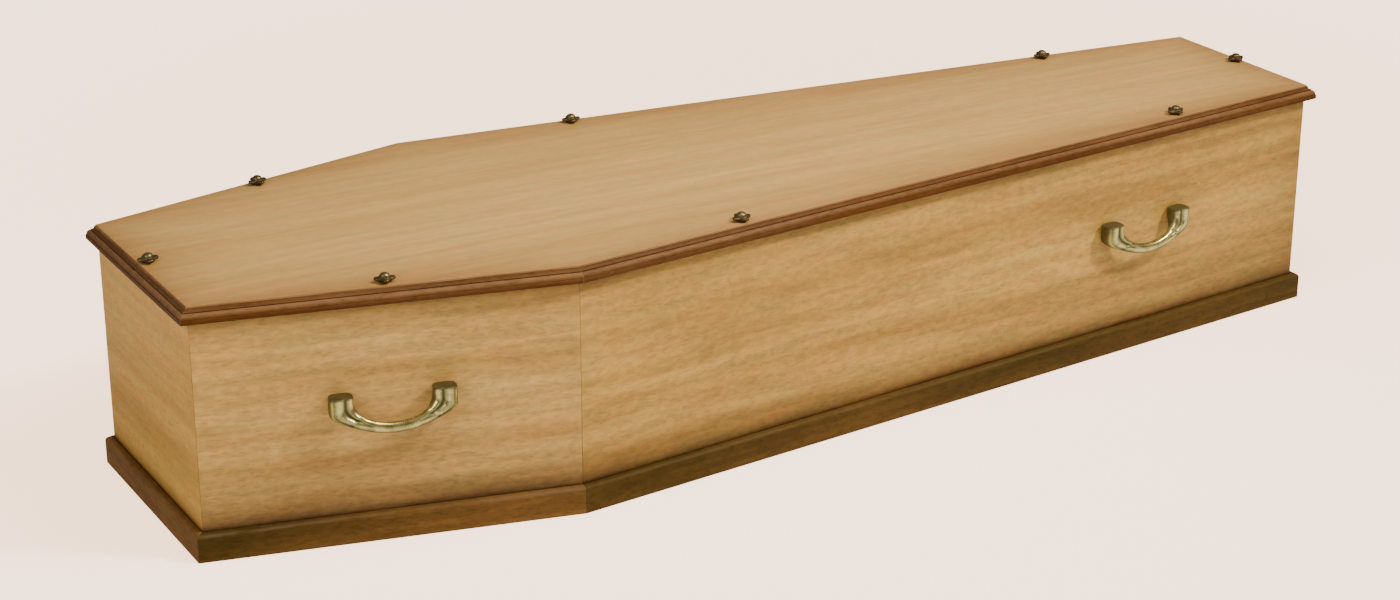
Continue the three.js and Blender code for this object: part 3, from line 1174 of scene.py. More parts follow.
@dataclass(frozen=True)
class BoardLook:
    """One board's tint, partly its own tone and partly painted light, how far its darkening above the
    plinth is drawn in, and how plain its figure is.
    """

    tint: Triple
    spray: float = 1.0
    plain: float = 0.0


@dataclass(frozen=True)
class Walls(SubAssembly):
    """The six veneered boards, with eased arrises and the holes for the lid screws."""

    slot = "oak_wall"
    outline: Outline
    screws: "LidScrews"
    arris: float = 1.0 * MM
    end_ease: float = 0.9 * MM
    arc_steps: int = 5
    # The tints and shade narrowings are set board by board for how light falls on each face, so they are
    # partly painted light.
    looks: tuple[BoardLook, ...] = (
        BoardLook((1.09, 1.13, 1.36), spray=0.75),
        BoardLook((0.96, 0.96, 0.94)),
        BoardLook((1.0, 0.98, 0.95), spray=2.4, plain=0.5),
        BoardLook((0.96, 0.98, 1.0)),
        BoardLook((1.05, 1.06, 1.15), spray=0.75),
        BoardLook((1.1, 1.06, 0.8), spray=2.4, plain=0.5),
    )

    def section(self, node: str) -> tuple[np.ndarray, Values]:
        """A board's upright section, an eased rectangle.

        Args:
            node: The board's node, for its height.

        Returns:
            The section's points, and their values.
        """
        low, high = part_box(node)
        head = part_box("head_board")
        thickness = head[1].x - head[0].x
        corners = [[-thickness, low.z], [0, low.z], [0, high.z], [-thickness, high.z]]
        points, on_arc = eased_loop(np.array(corners), np.full(4, self.arris), self.arc_steps)
        return points, {"arris": on_arc}

    def pieces(self) -> Pieces:
        """Every board.

        The flat top is the one quad between the arcs of the two upper corners, on the straight
        part of the board. It gives way to a plate with the screws' holes.

        Yields:
            Each board's name, its node and its shape.
        """
        for side, (name, look) in enumerate(zip(SIDES, self.looks)):
            node = name + "_board"
            section, marks = self.section(node)
            length = MitredLength(self.outline, side, self.end_ease)
            surface = length.surface(section, marks)
            surface.fill(tint=look.tint, spray=look.spray, plain=look.plain)
            inner_corner = 3 * (self.arc_steps + 3)
            near = (length.ease_steps + 1) * len(section) + inner_corner
            far = near + len(section)
            top = [near - 1, far - 1, far, near]
            surface.faces.remove(top)
            self.screws.holes(name).drill(surface, top, blind=True)
            yield name + "_veneered_board", node, surface


@dataclass(frozen=True)
class PlinthMouldings(SubAssembly):
    """The six lengths of plinth, round on their top outer arris."""

    slot = "plinth_wood"
    outline: Outline
    gap: float = 0.3 * MM
    thickness: float = 11.0 * MM
    radii: tuple[float, ...] = (0.4 * MM, 0.8 * MM, 6.0 * MM, 0.3 * MM)
    arc_steps: int = 9
    end_ease: float = 0.5 * MM
    stations: int = 40
    # Darker at the floor, painted shade in the corner against the wall, a painted highlight along the
    # round, and a painted bounce light that lightens the stain towards the floor.
    floor_dark_height: float = 1.5 * MM
    floor_dark_share: float = 0.7
    rubbed_and_highlit_line: Bell = Bell(0.94, 0.05)
    away_from_shoulder: Rise = Rise(0.08, 0.52, 0.62)
    shoulder_tone: float = 0.74
    shoulder_painted_bounce: float = 0.4
    head_tone: float = 1.0
    side_tone: float = 0.24
    side_painted_bounce: float = 0.3
    shaded_share: float = 0.35

    def section(self) -> tuple[np.ndarray, Values]:
        """The plinth's section.

        Returns:
            Its points, and their values: the round carries wear and a painted highlight, the corner
                against the wall is painted dark as painted shade, the strip at the floor is darker, and
                "lower" runs from 0.5 at the floor to -0.5 at the top.
        """
        low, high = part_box("head_plinth")
        inner, outer = self.gap, self.gap + self.thickness
        corners = [[inner, low.z], [outer, low.z], [outer, high.z], [inner, high.z]]
        points, on_arc = eased_loop(np.array(corners), np.array(self.radii), self.arc_steps)
        groove = np.where(points[:, 1] < low.z + self.floor_dark_height, self.floor_dark_share, 0.0)
        groove[-(self.arc_steps + 3) :] = 1.0
        share = (points[:, 1] - low.z) / (high.z - low.z)
        arris = on_arc * self.rubbed_and_highlit_line.at(share)
        return points, {"arris": arris, "groove": groove, "lower": 0.5 - share}

    def pieces(self) -> Pieces:
        """Every length, warmer near the shoulders and at the head, and painted lighter towards the floor
        as a painted bounce light.

        Yields:
            Each length's name, its node and its shape.
        """
        section, marks = self.section()
        for side, name in enumerate(SIDES):
            length = MitredLength(self.outline, side, self.end_ease, self.stations)
            surface = length.surface(section, marks)
            values = surface.values
            lower = values.pop("lower")
            if "shoulder" in name:
                from_shoulder = values["ends"][:, 1 if name.startswith("right") else 0]
                away = self.away_from_shoulder.at(from_shoulder)
                values["tone"] = self.shoulder_tone - away + self.shoulder_painted_bounce * lower
            else:
                tone = self.head_tone if name == "head" else self.side_tone
                values["tone"] = tone + self.side_painted_bounce * lower
                values["arris"] = values["arris"] * self.shaded_share
                values["groove"] = values["groove"] * (self.shaded_share if name == "head" else 1)
            yield name + "_stained_plinth", name + "_plinth", surface


@dataclass(frozen=True)
class SectionPart:
    """A run of points in a moulding's section, and how rubbed, light and stained it is."""

    points: np.ndarray
    arris: float = 0.0
    tone: float | np.ndarray = 0.0
    groove: float = 0.0

    def mark(self, name: str) -> np.ndarray:
        """One of its values, for each of its points."""
        return np.broadcast_to(np.asarray(getattr(self, name), float), len(self.points))


@dataclass(frozen=True)
class LidMouldings(SubAssembly):
    """The six mouldings round the lid: a nose, an ovolo, a quirk and a cove under a land."""

    slot = "rim_wood"
    outline: Outline
    inner: float = 1.3 * MM
    width: float = 12.7 * MM
    land: float = 1.7 * MM
    nose: float = 6.5 * MM
    nose_step: float = 1.0 * MM
    quirk: float = 1.0 * MM
    ovolo_share: float = 0.58
    ovolo_width_share: float = 0.55
    ease: float = 0.7 * MM
    back_ease: float = 0.3 * MM
    land_drop: float = 0.35 * MM
    end_ease: float = 0.35 * MM
    stations: int = 40
    side_tone: float = 0.72

    def section(self) -> tuple[np.ndarray, Values]:
        """The moulding's section, a run of straight lines and quarter ellipses.

        Returns:
            Its points, and their values: the land is painted paler as wear and a painted highlight, the
                ovolo is painted lighter towards its top as a painted highlight, and the quirks and the
                cove are painted darker, partly as stain gathering there and partly as painted shade.
        """
        low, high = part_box("head_lid_moulding")
        outer, land = self.inner + self.width, self.inner + self.land
        width = outer - self.nose_step - land
        height = high.z - low.z - self.nose - self.quirk
        ovolo = (self.ovolo_width_share * width, self.ovolo_share * height)
        quirk = outer - self.nose_step - ovolo[0]
        shoulder = low.z + self.nose
        top_of_ovolo = shoulder + ovolo[1]
        back = (self.back_ease, self.back_ease)
        e = self.ease
        # A painted highlight that grows towards the ovolo's top.
        rising = 0.25 + Rise(0, 0.55, 0.75).at(np.linspace(0, 1, 15))
        cove = ellipse_arc((quirk, high.z), (quirk - land, height - ovolo[1]), (264, 188), 12)
        parts = [
            SectionPart(ellipse_arc((self.inner + back[0], low.z + back[1]), back, (180, 270), 2)),
            SectionPart(ellipse_arc((outer - e, low.z + e), (e, e), (270, 360), 5), groove=0.2),
            SectionPart(ellipse_arc((outer - e, shoulder - e), (e, e), (0, 90), 5), tone=0.15),
            SectionPart(np.array([[quirk + ovolo[0], shoulder]]), tone=0.2, groove=1.0),
            SectionPart(ellipse_arc((quirk, shoulder), ovolo, (6, 84), 14), tone=rising),
            SectionPart(
                np.array([[quirk, top_of_ovolo], [quirk, top_of_ovolo + self.quirk]]),
                tone=0.2, groove=1.0,
            ),
            SectionPart(cove, tone=0.45, groove=0.15),
            SectionPart(
                np.array([
                    [land, high.z - self.land_drop], [land - back[0], high.z], [self.inner, high.z]
                ]),
                arris=1.0, tone=0.6,
            ),
        ]
        marks = ("arris", "tone", "groove")
        values = {name: np.concatenate([part.mark(name) for part in parts]) for name in marks}
        return np.concatenate([part.points for part in parts]), values

    def pieces(self) -> Pieces:
        """Every length, darker on the long sides.

        Yields:
            Each length's name, its node and its shape.
        """
        section, marks = self.section()
        for side, name in enumerate(SIDES):
            length = MitredLength(self.outline, side, self.end_ease, self.stations)
            surface = length.surface(section, marks)
            tone = self.side_tone if "side" in name else 1
            surface.values["tone"] = surface.values["tone"] * tone
            yield name + "_moulded_rim", name + "_lid_moulding", surface


@dataclass(frozen=True)
class LidPanel(SubAssembly):
    """The flat panel of the lid, with an eased arris and holes for the screws."""

    slot = "oak_lid"
    outline: Outline
    screws: "LidScrews"
    arris: float = 0.9 * MM
    held: float = 2.4 * MM
    steps: int = 5
    grain_shift: Triple = (1.9, 0.77, 0.2)

    def pieces(self) -> Pieces:
        """The panel.

        Rings of six corners run from the top down. Each is set in by the arris times one less the
        sine of an angle, at a depth of the arris times one less its cosine, and the same below.
        The top is a plate with the screws' holes, and the underside one round their lower ends.

        Yields:
            The panel's name, its node and its shape.
        """
        low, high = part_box("lid_panel")
        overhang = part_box("head_board")[0].x - low.x
        depth, inset = quarter_round(self.arris, self.steps)
        depth, inset = np.r_[0, depth], np.r_[self.held, inset]
        # The eased arris is painted paler, as wear and as a painted highlight.
        rubbed_and_highlit = np.r_[0, np.ones(self.steps + 1)]
        insets = np.r_[inset, inset[::-1]]
        heights = np.r_[high.z - depth, (low.z + depth)[::-1]]
        around = range(len(SIDES))
        corners = [self.outline.moved_corner(corner, overhang - insets) for corner in around]
        levels = np.repeat(heights[:, None, None], len(SIDES), axis=1)
        points = np.concatenate([np.stack(corners, axis=1), levels], axis=2).reshape(-1, 3)
        arris = np.repeat(np.r_[rubbed_and_highlit, rubbed_and_highlit[::-1]], len(SIDES))
        values = {"grain": points + np.array(self.grain_shift), "arris": arris}
        surface = Surface(points, loft_faces(len(insets), len(SIDES)), values)
        holes = self.screws.holes("", low.z)
        holes.drill(surface, list(around), blind=False)
        rim = np.arange(len(points) - len(SIDES), len(points))
        circles = holes.circles()
        numbers = np.r_[rim, len(surface.points) - HOLE_STEPS * len(circles) : len(surface.points)]
        below = numbers[pierced_plate(surface.points[rim, :2], circles)]
        surface.faces += below[:, ::-1].tolist()
        yield "veneered_lid_panel", "lid_panel", surface


@dataclass(frozen=True)
class LidScrews(SubAssembly):
    """The eight cast screws: a shank, a round seat, a grip of four petals and a domed middle."""

    slot = "screw_bronze"
    outline: Outline
    shank: float = 2.5 * MM
    tip: float = 4.0 * MM
    clearance: float = 0.4 * MM
    below_tip: float = 0.3 * MM
    seat: float = 8.0 * MM
    seat_height: float = 2.4 * MM
    seat_ease: float = 0.4 * MM
    grip: float = 15.0 * MM
    grip_height: float = 5.5 * MM
    waist: float = 0.66
    crown: float = 1.1 * MM
    vein: Bell = Bell(0.0, 0.16, 0.35 * MM)
    dome: float = 7.0 * MM
    dome_height: float = 5.5 * MM
    ditch_width: float = 1.3 * MM
    patina_between: float = 0.75
    turns: int = 128
    tip_radius: float = 0.02 * MM
    edge_hold: float = 0.1 * MM
    # Places in the outline, as shares of the seat's, the grip's or the dome's radius and height.
    seat_wall: float = 0.5
    seat_lip: tuple[float, float] = (0.9, 0.98)
    neck: tuple[float, float] = (0.8, 0.1)
    rim_middle: tuple[float, float] = (0.9, 0.5)
    rim_radii: tuple[float, float] = (0.1, 0.36)
    dish_outer: float = 0.85
    dish_inner: float = 1.25
    dish_start: float = 0.88
    dish_depth: float = 0.16
    dish_points: int = 10
    ditch: tuple[float, float] = (1.08, 0.06)
    dome_foot: float = 0.12

    @property
    def nodes(self) -> list[str]:
        """The screws' nodes."""
        return nodes_named("lid_screw_")

    def side_of(self, node: str) -> str:
        """The side of the coffin that a screw stands on."""
        place = node.removeprefix("lid_screw_")
        return place.split("_")[0] + "_side" if place.endswith(("upper", "lower")) else place

    def place_of(self, node: str) -> np.ndarray:
        """The middle of a screw, seen from above."""
        low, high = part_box(node)
        return np.array([(low.x + high.x) / 2, (low.y + high.y) / 2])

    def holes(self, side: str, bottom: float | None = None) -> RoundHoles:
        """The holes that the shanks pass through.

        Args:
            side: The side of the coffin, or nothing for all of them.
            bottom: The height at which they end, or None for a little below the shanks' tips.

        Returns:
            The holes.
        """
        chosen = [node for node in self.nodes if side in ("", self.side_of(node))]
        if bottom is None:
            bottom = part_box(self.nodes[0])[0].z - self.below_tip
        places = [self.place_of(node) for node in chosen]
        return RoundHoles(places, self.shank + self.clearance, bottom)

    def profile(self, length: float) -> np.ndarray:
        """Half of the screw's outline, from its tip to the top of its dome.

        The shank and seat are straight lines, the grip's rim is half an ellipse, its top sinks by
        a sine towards the dome, and the dome is a quarter ellipse.

        Args:
            length: The shank's length below the seat.

        Returns:
            Rows of radius and height above the underside of the seat.
        """
        seat, seat_top, ease = self.seat, self.seat_height, self.seat_ease
        grip, high, dome, dome_high = self.grip, self.grip_height, self.dome, self.dome_height
        top, foot = seat_top + high, dome_high * self.dome_foot
        rim = (grip * self.rim_middle[0], seat_top + high * self.rim_middle[1])
        rim_radii = (grip * self.rim_radii[0], high * self.rim_radii[1])
        inward = np.linspace(grip * self.dish_outer, dome * self.dish_inner, self.dish_points)
        share = np.linspace(0, 1, self.dish_points)
        risen = self.dish_start + (1 - self.dish_start) * share
        dish = seat_top + high * (risen - self.dish_depth * np.sin(math.pi * share))
        rows = [
            [[self.tip_radius, -length], [self.shank, self.tip - length]],
            [[self.shank, -self.edge_hold], [self.shank, 0], [seat - ease, 0], [seat, ease]],
            [[seat, seat_top * self.seat_wall]],
            [[seat * self.seat_lip[0], seat_top * self.seat_lip[1]]],
            [[grip * self.neck[0], seat_top + high * self.neck[1]]],
            ellipse_arc(rim, rim_radii, (-90, 90), 12),
            np.stack([inward, dish], axis=1),
            [[dome * self.ditch[0], top - high * self.ditch[1]]],
            ellipse_arc((0, top + foot), (dome, dome_high * (1 - self.dome_foot)), (0, 88), 16),
        ]
        return np.concatenate([np.array(row) for row in rows])

    def surface(self, node: str) -> Surface:
        """One screw: its profile turned round, drawn in between its petals and crowned along them.

        A ring of radius r is drawn in by one less (1 - waist) times a smooth step of r times the
        squared sine of twice the angle. The top of the grip sinks between the petals by the same
        squared sine, and a fine vein runs along each petal. These begin and end at shares of the
        grip's and the dome's radii and of the grip's height.

        Args:
            node: The screw's node.

        Returns:
            The screw in its own place.
        """
        low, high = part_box(node)
        seat, grip, dome, rise = self.seat_height, self.grip, self.dome, self.grip_height
        length = high.z - low.z - seat - rise - self.dome_height
        profile = self.profile(length)
        radius, height = profile[:, :1], profile[:, 1:]
        angle = np.linspace(0, 2 * math.pi, self.turns, endpoint=False)
        between = np.sin(2 * angle)[None] ** 2
        lobed = Rise(self.seat, grip * 0.9).at(radius)
        drawn = radius * (1 - (1 - self.waist) * lobed * between)
        petal = Rise(dome * 1.02, grip * 0.62).at(radius)
        petal = petal * Rise(seat + rise * 0.5, seat + rise * 0.8).at(height)
        inward = 1 - Rise(grip * 0.78, grip * 0.95).at(radius)
        sink = petal * (self.crown * between + self.vein.at(np.sin(2 * angle))[None] * inward)
        along = unit(self.outline.along(SIDES.index(self.side_of(node))))
        out = np.array([along[1], -along[0]])
        turned = np.cos(angle)[None, :, None] * along - np.sin(angle)[None, :, None] * out
        plan = self.place_of(node) + drawn[..., None] * turned
        level = np.broadcast_to(height - sink, drawn.shape) + low.z + length
        ditch = Bell(dome * 1.15, self.ditch_width).at(radius) * (height > seat + rise * 0.6)
        # Painted shade low on the screw where it meets the panel, and a painted highlight with wear rising
        # to the top of the dome.
        under = height < seat * 1.2
        hollow = np.clip(ditch + self.patina_between * between * lobed + under, 0, 1)
        worn = Rise(seat + rise * 0.8, seat + rise + self.dome_height).at(height)
        values = {"hollow": hollow[::-1], "worn": np.broadcast_to(worn, drawn.shape)[::-1]}
        return capped_loft(np.concatenate([plan, level[..., None]], axis=2)[::-1], values)

    def pieces(self) -> Pieces:
        """Every screw's name, its node and its shape."""
        for node in self.nodes:
            yield "bronze_" + node, node, self.surface(node)


@dataclass(frozen=True)
class CastHandles(SubAssembly):
    """The four fixed handles: square lugs with flutes, and a bail that hangs in a U between."""

    slot = "handle_brass"
    outline: Outline
    width: float = 175.0 * MM
    drop: float = 55.0 * MM
    lug_width: float = 33.0 * MM
    lug_depth: float = 27.0 * MM
    outer_straight: float = 24.0 * MM
    inner_straight: float = 10.0 * MM
    first_station: float = 0.16
    bail_thickness: float = 15.0 * MM
    bail_waist: float = 0.78
    bail_depth: float = 13.0 * MM
    finger_gap: float = 19.0 * MM
    gap_opens: Rise = Rise(0.05, 0.8)
    stand_off: float = 0.3 * MM
    lug_squareness: float = 3.4
    bail_squareness: float = 2.2
    straight_share: float = 1 / 12
    ease: float = 1.4 * MM
    ease_steps: int = 4
    stations: int = 181
    around: int = 72
    flute: float = 3.2 * MM
    on_front: Rise = Rise(0.3, 0.8)
    flutes: tuple[Bell, Bell] = (Bell(-0.27, 0.17), Bell(0.66, 0.1, 0.5))
    flute_ends: Rise = Rise(0.45, 0.95)
    collar: Bell = Bell(0.62, 0.05, 0.35)
    ridges: tuple[Bell, Bell] = (Bell(0.22, 0.2), Bell(-0.72, 0.16, 0.9))
    groove_patina: float = 1.1
    # Painted dark: the lugs' tops as a painted reflection of the wood, and the rear, underside and flanks
    # as painted shade.
    top_painted_reflection: float = 0.85
    dark_top: Bell = Bell(0.0, 2.0 * MM)
    dark_rear: Rise = Rise(-0.2, 0.6, 0.7)
    dark_under: tuple[Rise, Rise] = (Rise(0.45, 0.9, 0.9), Rise(0.3, 0.8))
    dark_flank: tuple[Rise, Rise] = (Rise(0.8, 1.0, 0.85), Rise(0.25, 0.8))

    def side_of(self, node: str) -> int:
        """The side of the coffin that a handle hangs on."""
        right_or_left, where = node.removeprefix("handle_").split("_")
        return SIDES.index(right_or_left + ("_side" if where == "foot" else "_shoulder"))

    def turned(self, share: np.ndarray) -> np.ndarray:
        """How far round the bail each place is, from 0 at one lug to 1 at the other."""
        return np.clip((share - self.straight_share) / (1 - 2 * self.straight_share), 0, 1)

    def line(self, half: float, straight: float, drop: float, share: np.ndarray) -> np.ndarray:
        """A line straight down from a lug's top, round half an ellipse, and straight up again.

        Args:
            half: Half the distance between its ends.
            straight: The length of its straight parts.
            drop: How far down it reaches.
            share: How far along the handle, from 0 to 1.

        Returns:
            Rows of distance along the board and height.
        """
        angle = self.turned(share) * math.pi
        down = straight * np.minimum(np.minimum(share, 1 - share) / self.straight_share, 1)
        return np.stack([-half * np.cos(angle), -down - (drop - straight) * np.sin(angle)], axis=1)

    def surface(self, node: str) -> Surface:
        """One handle: a closed section carried along the U, with flutes sunk into its lugs.

        The section is a superellipse between an outer and an inner line, with the squareness of
        the lug at the ends and of the bail in the middle. Half its width is multiplied by one less
        (1 - waist) times the squared sine of the full turn, which draws the outer side in beyond
        the lugs. Each flute is a bell-shaped groove along the handle, which fades out as the bail
        begins, and a collar runs across it there.

        Args:
            node: The handle's node.

        Returns:
            The handle in its own place.
        """
        step_in, shrink = quarter_round(self.ease, self.ease_steps)
        start = step_in / self.outer_straight * self.straight_share
        first = self.straight_share * self.first_station
        share = np.r_[start, np.linspace(first, 1 - first, self.stations), 1 - start[::-1]]
        shrink = np.r_[shrink, np.zeros(self.stations), shrink[::-1]] / (self.lug_width / 2)
        kept = 1 - shrink[:, None]
        half_width, bail = self.width / 2, self.drop - self.bail_thickness
        outer = self.line(half_width, self.outer_straight, self.drop, share)
        inner = self.line(half_width - self.lug_width, self.inner_straight, bail, share)
        turned = self.turned(share)
        swing = np.sin(turned * math.pi)[:, None]
        power = 2 / (self.lug_squareness + (self.bail_squareness - self.lug_squareness) * swing)
        phi = np.linspace(0, 2 * math.pi, self.around, endpoint=False)[None]
        across, deep = (np.sign(f(phi)) * np.abs(f(phi)) ** power for f in (np.cos, np.sin))
        back = self.stand_off + self.finger_gap * self.gap_opens.at(swing)
        front = self.lug_depth + (self.finger_gap + self.bail_depth - self.lug_depth) * swing
        fluted = (1 - self.flute_ends.at(swing)) * sum(flute.at(across) for flute in self.flutes)
        groove = self.on_front.at(deep) * (fluted + self.collar.at(swing))
        out = (front + back) / 2 + deep * (front - back) / 2 * kept - self.flute * groove
        drawn_in = 1 - (1 - self.bail_waist) * np.sin(2 * math.pi * turned) ** 2
        half = (outer - inner) / 2 * drawn_in[:, None]
        flat = (inner + half)[:, None] + half[:, None] * (across * kept)[..., None]
        side = self.side_of(node)
        corner, along = self.outline.corner(side), self.outline.along(side)
        measured = (node_points(node)[:, :2] - corner) @ along
        origin = corner + along * (measured.min() + measured.max()) / 2
        plan = origin + flat[..., :1] * along + out[..., None] * self.outline.out(side)
        points = np.concatenate([plan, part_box(node)[1].z + flat[..., 1:]], axis=2)
        return capped_loft(points, self.wear(across, deep, swing, groove, flat[..., 1]))

    def wear(
        self, across: np.ndarray, deep: np.ndarray, swing: np.ndarray, groove: np.ndarray,
        height: np.ndarray,
    ) -> Values:
        """Where a handle is dark with patina and painted shade, and where it is bright with wear and a
        painted highlight.

        It is dark with patina in its grooves. Its lugs' tops are painted dark as a painted reflection of
        the wood behind, and its rear, flanks and underside as painted shade. The ridges between its
        grooves are painted bright, as wear and a painted highlight.

        Args:
            across: The place across the section, from -1 inside the U to 1 outside.
            deep: The place in the section's depth, from -1 at the board to 1 in front.
            swing: 0 at the lugs and 1 in the middle of the bail.
            groove: How deep the grooves are.
            height: The height below the lugs' tops.

        Returns:
            The "hollow" and "worn" values.
        """
        top = self.dark_top.at(height)
        under = self.dark_under[0].at(across) * self.dark_under[1].at(swing)
        flank = self.dark_flank[0].at(np.abs(across)) * (1 - self.dark_flank[1].at(swing))
        rear = self.dark_rear.at(-deep)
        ridge = sum(line.at(across) for line in self.ridges)
        worn = np.clip(self.on_front.at(deep) * ridge * (1 - groove), 0, 1) * (1 - top)
        hollow = groove * self.groove_patina + top * self.top_painted_reflection + rear + under + flank
        return {"hollow": np.clip(hollow, 0, 1), "worn": worn}

    def pieces(self) -> Pieces:
        """Every handle's name, its node and its shape."""
        for node in nodes_named("handle_"):
            yield "brass_" + node, node, self.surface(node)


def point_at(thing: bpy.types.Object, place: Vector, aim: Vector) -> None:
    """Stands a light or a camera at a place and turns it to its aim."""
    thing.location = place
    thing.rotation_euler = (aim - place).to_track_quat("-Z", "Y").to_euler()


@dataclass(frozen=True)
class Camera:
    """A camera on the photograph's line of sight, found from the edges of the lid and walls."""

    azimuth: float = -29.916
    elevation: float = 21.557
    distance: float = 4.3026
    aim: Triple = (-0.0833, 0.0, 0.143)
    focal_pixels: float = 2819.1
    image_width: float = 1400.0
    sensor: float = 36.0

    def build(self) -> None:
        """Places the camera on its sphere round the aim and makes it the scene's own."""
        a, e = math.radians(self.azimuth), math.radians(self.elevation)
        back = Vector((math.sin(a) * math.cos(e), -math.cos(a) * math.cos(e), math.sin(e)))
        data = bpy.data.cameras.new("photograph")
        data.sensor_fit = "HORIZONTAL"
        data.sensor_width = self.sensor
        data.lens = self.focal_pixels * self.sensor / self.image_width
        camera = add_object("photograph", data)
        point_at(camera, Vector(self.aim) + back * self.distance, Vector(self.aim))
        bpy.context.scene.camera = camera


@dataclass(frozen=True)
class Softbox:
    """One large soft light."""

    name: str
    place: Triple
    size: float
    watts: float
    colour: Triple = (1.0, 1.0, 1.0)
    aim: Triple = (0.0, 0.0, 0.2)

    def build(self) -> None:
        """Places the light and turns it to its aim."""
        data = bpy.data.lights.new(self.name, "AREA")
        data.shape = "DISK"
        data.size = self.size
        data.energy = self.watts
        data.color = self.colour
        point_at(add_object(self.name, data), Vector(self.place), Vector(self.aim))


@dataclass(frozen=True)
class Studio:
    """A pale floor, three softboxes and an even sky.

    The camera sees the floor with a glow on it, which differs from left to right and with the
    distance from the middle, so that it looks as pale and even as the photograph's ground.
    """

    sky: float = 0.32
    sky_seen: Triple = (4.06, 2.88, 2.13)
    paper: Triple = (0.8, 0.79, 0.77)
    paper_fleck: Layer = Layer((0.8, 0.8, 0.8))
    fleck_share: float = 0.97
    glow_left: Triple = (3.1, 2.0, 1.27)
    glow_right: Triple = (2.55, 1.5, 0.8)
    glow_far: Triple = (3.75, 2.6, 1.87)
    to_the_right: Triple = (0.867, -0.499, 0.0)
    right_range: tuple[float, float] = (-1.5, 1.5)
    far_range: tuple[float, float] = (1.0, 4.2)
    floor_size: float = 60.0
    lights: tuple[Softbox, ...] = (
        Softbox("key", (2.8, -2.8, 4.1), 0.8, 289.0, (1.0, 0.98, 0.95)),
        Softbox("fill", (-2.9, -1.4, 1.6), 1.6, 42.0, (1.0, 0.99, 0.96)),
        Softbox("top", (0.1, -0.7, 1.9), 1.1, 23.0),
    )

    def build(self) -> None:
        """Makes the floor, the sky and the lights."""
        half = self.floor_size / 2
        corners = [(-half, -half, 0), (half, -half, 0), (half, half, 0), (-half, half, 0)]
        mesh = bpy.data.meshes.new("studio_floor")
        mesh.from_pydata(corners, [], [(0, 1, 2, 3)])
        mesh.materials.append(self.floor_material())
        floor = add_object("studio_floor", mesh)
        floor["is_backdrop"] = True
        self.build_sky()
        for light in self.lights:
            light.build()
        log.info("studio: %d lights", len(self.lights))

    def floor_material(self) -> Material:
        """Matt paper that glows to the camera alone.

        Returns:
            The material.
        """
        material, nodes = new_material("studio_paper")
        seen = nodes.add("LightPath").outputs["Is Camera Ray"]
        place = nodes.place()
        darker = tuple(self.fleck_share * part for part in self.paper)
        tone = nodes.blend(self.paper_fleck.noise(nodes, place), self.paper, darker)
        low, high = self.right_range
        right = nodes.dot(place, self.to_the_right)
        inputs = {"Value": right, "From Min": low, "From Max": high}
        across = nodes.add("MapRange", inputs).outputs[0]
        glow = nodes.blend(across, self.glow_left, self.glow_right)
        far = nodes.add("VectorMath", {0: place}, operation="LENGTH").outputs["Value"]
        glow = nodes.blend(nodes.spread(far, *self.far_range), glow, self.glow_far)
        inputs = {"Base Color": tone, "Roughness": 0.9, "Specular IOR Level": 0.1}
        inputs |= {"Emission Color": glow, "Emission Strength": seen}
        nodes.add("OutputMaterial", {0: nodes.add("BsdfPrincipled", inputs).outputs[0]})
        return material

    def build_sky(self) -> None:
        """An even pale sky, which the camera sees as bright as the floor."""
        world = bpy.data.worlds.new("studio_sky")
        world.use_nodes = True
        nodes = Nodes(world.node_tree)
        seen = nodes.add("LightPath").outputs["Is Camera Ray"]
        colour = nodes.blend(seen, (self.sky, self.sky, self.sky), self.sky_seen)
        background = nodes.add("Background", {0: colour, 1: 1.0})
        nodes.add("OutputWorld", {0: background.outputs[0]})
        bpy.context.scene.world = world


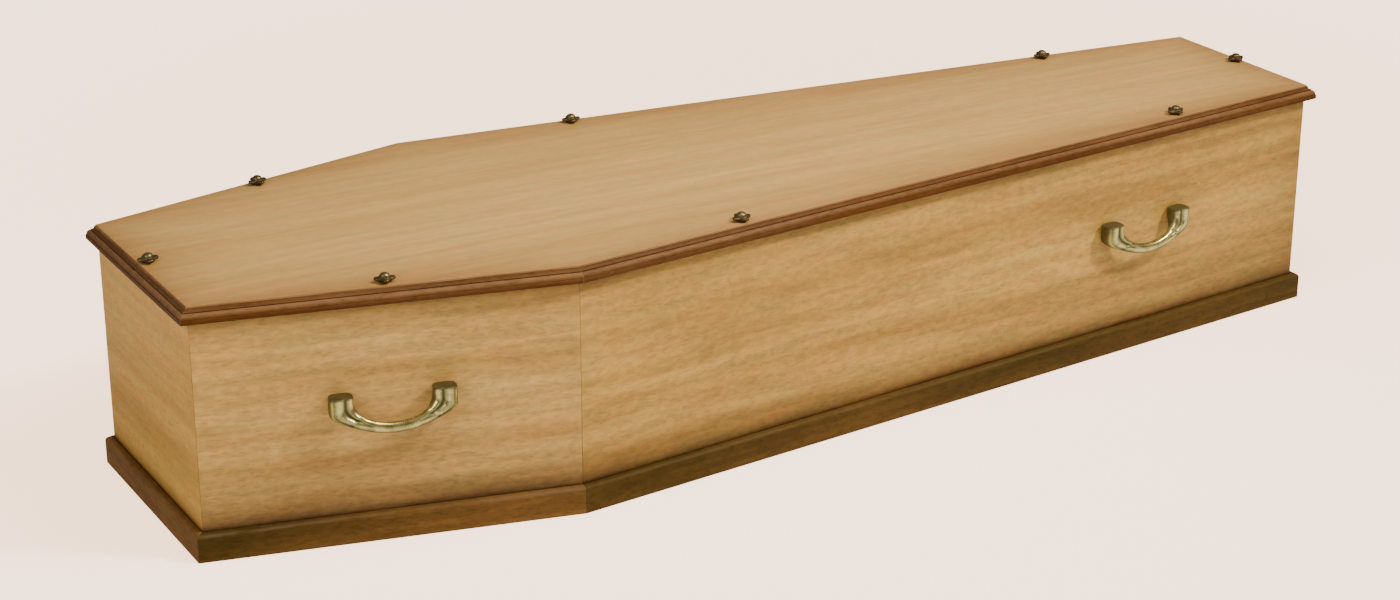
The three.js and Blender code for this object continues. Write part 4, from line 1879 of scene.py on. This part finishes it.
@dataclass(frozen=True)
class Finishes:
    """The coffin's finishes, by their slots."""

    outline: Outline
    rim_sides: tuple[str, ...] = ("right_shoulder", "right_side", "foot", "head")

    def rims(self) -> tuple[tuple[Triple, float], ...]:
        """The rims of the head, the foot and one long half.

        Returns:
            Each rim's outward direction and its distance from the middle.
        """
        rims = []
        for side in (SIDES.index(name) for name in self.rim_sides):
            out = self.outline.out(side)
            reach = float(self.outline.corner(side) @ out)
            rims.append(((float(out[0]), abs(float(out[1])), 0.0), reach))
        return tuple(rims)

    def build(self) -> dict[str, Material]:
        """Makes every material.

        Returns:
            The materials by their slots.
        """
        effects = Effects()
        finishes = {
            "oak_wall": OakFinish(
                name="oak_wall_veneer", pale=(0.6, 0.32, 0.071), deep=(0.44, 0.22, 0.042),
                board_tints=True, arris_share=0.12, shade_reach=0.03,
                shade_above=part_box("head_plinth")[1].z, top_height=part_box("head_lid_moulding")[0].z,
            ),
            "oak_lid": OakFinish(
                name="oak_lid_veneer", pale=(0.6, 0.345, 0.098), deep=(0.53, 0.29, 0.076),
                streak_depth=0.055, mottle_depth=0.045, pore_share=0.04, rims=self.rims(),
            ),
            "oak_base": OakFinish(
                name="oak_base_veneer", pale=(0.5, 0.27, 0.08), deep=(0.42, 0.21, 0.055),
                place=PlaceFrom.OBJECT,
            ),
            "rim_wood": StainedFinish(
                name="rim_stain", dark=(0.075, 0.024, 0.004), light=(0.115, 0.038, 0.007),
                warm=(0.19, 0.09, 0.034), arris=(0.29, 0.165, 0.075),
            ),
            "plinth_wood": StainedFinish(
                name="plinth_stain", dark=(0.046, 0.026, 0.004), light=(0.07, 0.038, 0.007),
                warm=(0.185, 0.082, 0.02), arris=(0.14, 0.084, 0.038),
            ),
            "handle_brass": CastFinish(
                name="antiqued_brass", bright=(0.58, 0.46, 0.14), dull=(0.28, 0.22, 0.06),
                patina_and_shade=(0.045, 0.036, 0.01), rubbed_and_highlit=(0.88, 0.76, 0.36),
            ),
            "screw_bronze": CastFinish(
                name="dark_bronze", bright=(0.16, 0.105, 0.035), dull=(0.085, 0.052, 0.015),
                patina_and_shade=(0.03, 0.016, 0.005), rubbed_and_highlit=(0.3, 0.235, 0.09),
                roughness=0.4, rubbed_and_highlit_share=0.6,
            ),
        }
        return {slot: finish.material(effects) for slot, finish in finishes.items()}


def dress(node: str, material: Material) -> None:
    """Gives a finish to a node of the frame that stays as it is.

    Args:
        node: The node's name.
        material: Its finish.
    """
    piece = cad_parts[node]
    if not piece.material_slots:
        piece.data.materials.append(material)
    for place in piece.material_slots:
        place.material = material
    log.info("%s: dressed", node)


def main() -> None:
    """Builds the coffin, the studio and the camera."""
    outline = Outline.from_frame()
    finishes = Finishes(outline).build()
    screws = LidScrews(outline)
    assemblies = (
        Walls(outline, screws), PlinthMouldings(outline), LidPanel(outline, screws),
        LidMouldings(outline), screws, CastHandles(outline),
    )
    for assembly in assemblies:
        assembly.build(finishes)
    dress("base_board", finishes["oak_base"])
    Studio().build()
    Camera().build()
    sizes = {name: np.array(box).tolist() for name, box in (("cad", cad_box), ("visual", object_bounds()))}


if __name__ == "__main__":
    logging.basicConfig(level=logging.INFO, format="%(message)s")
    main()
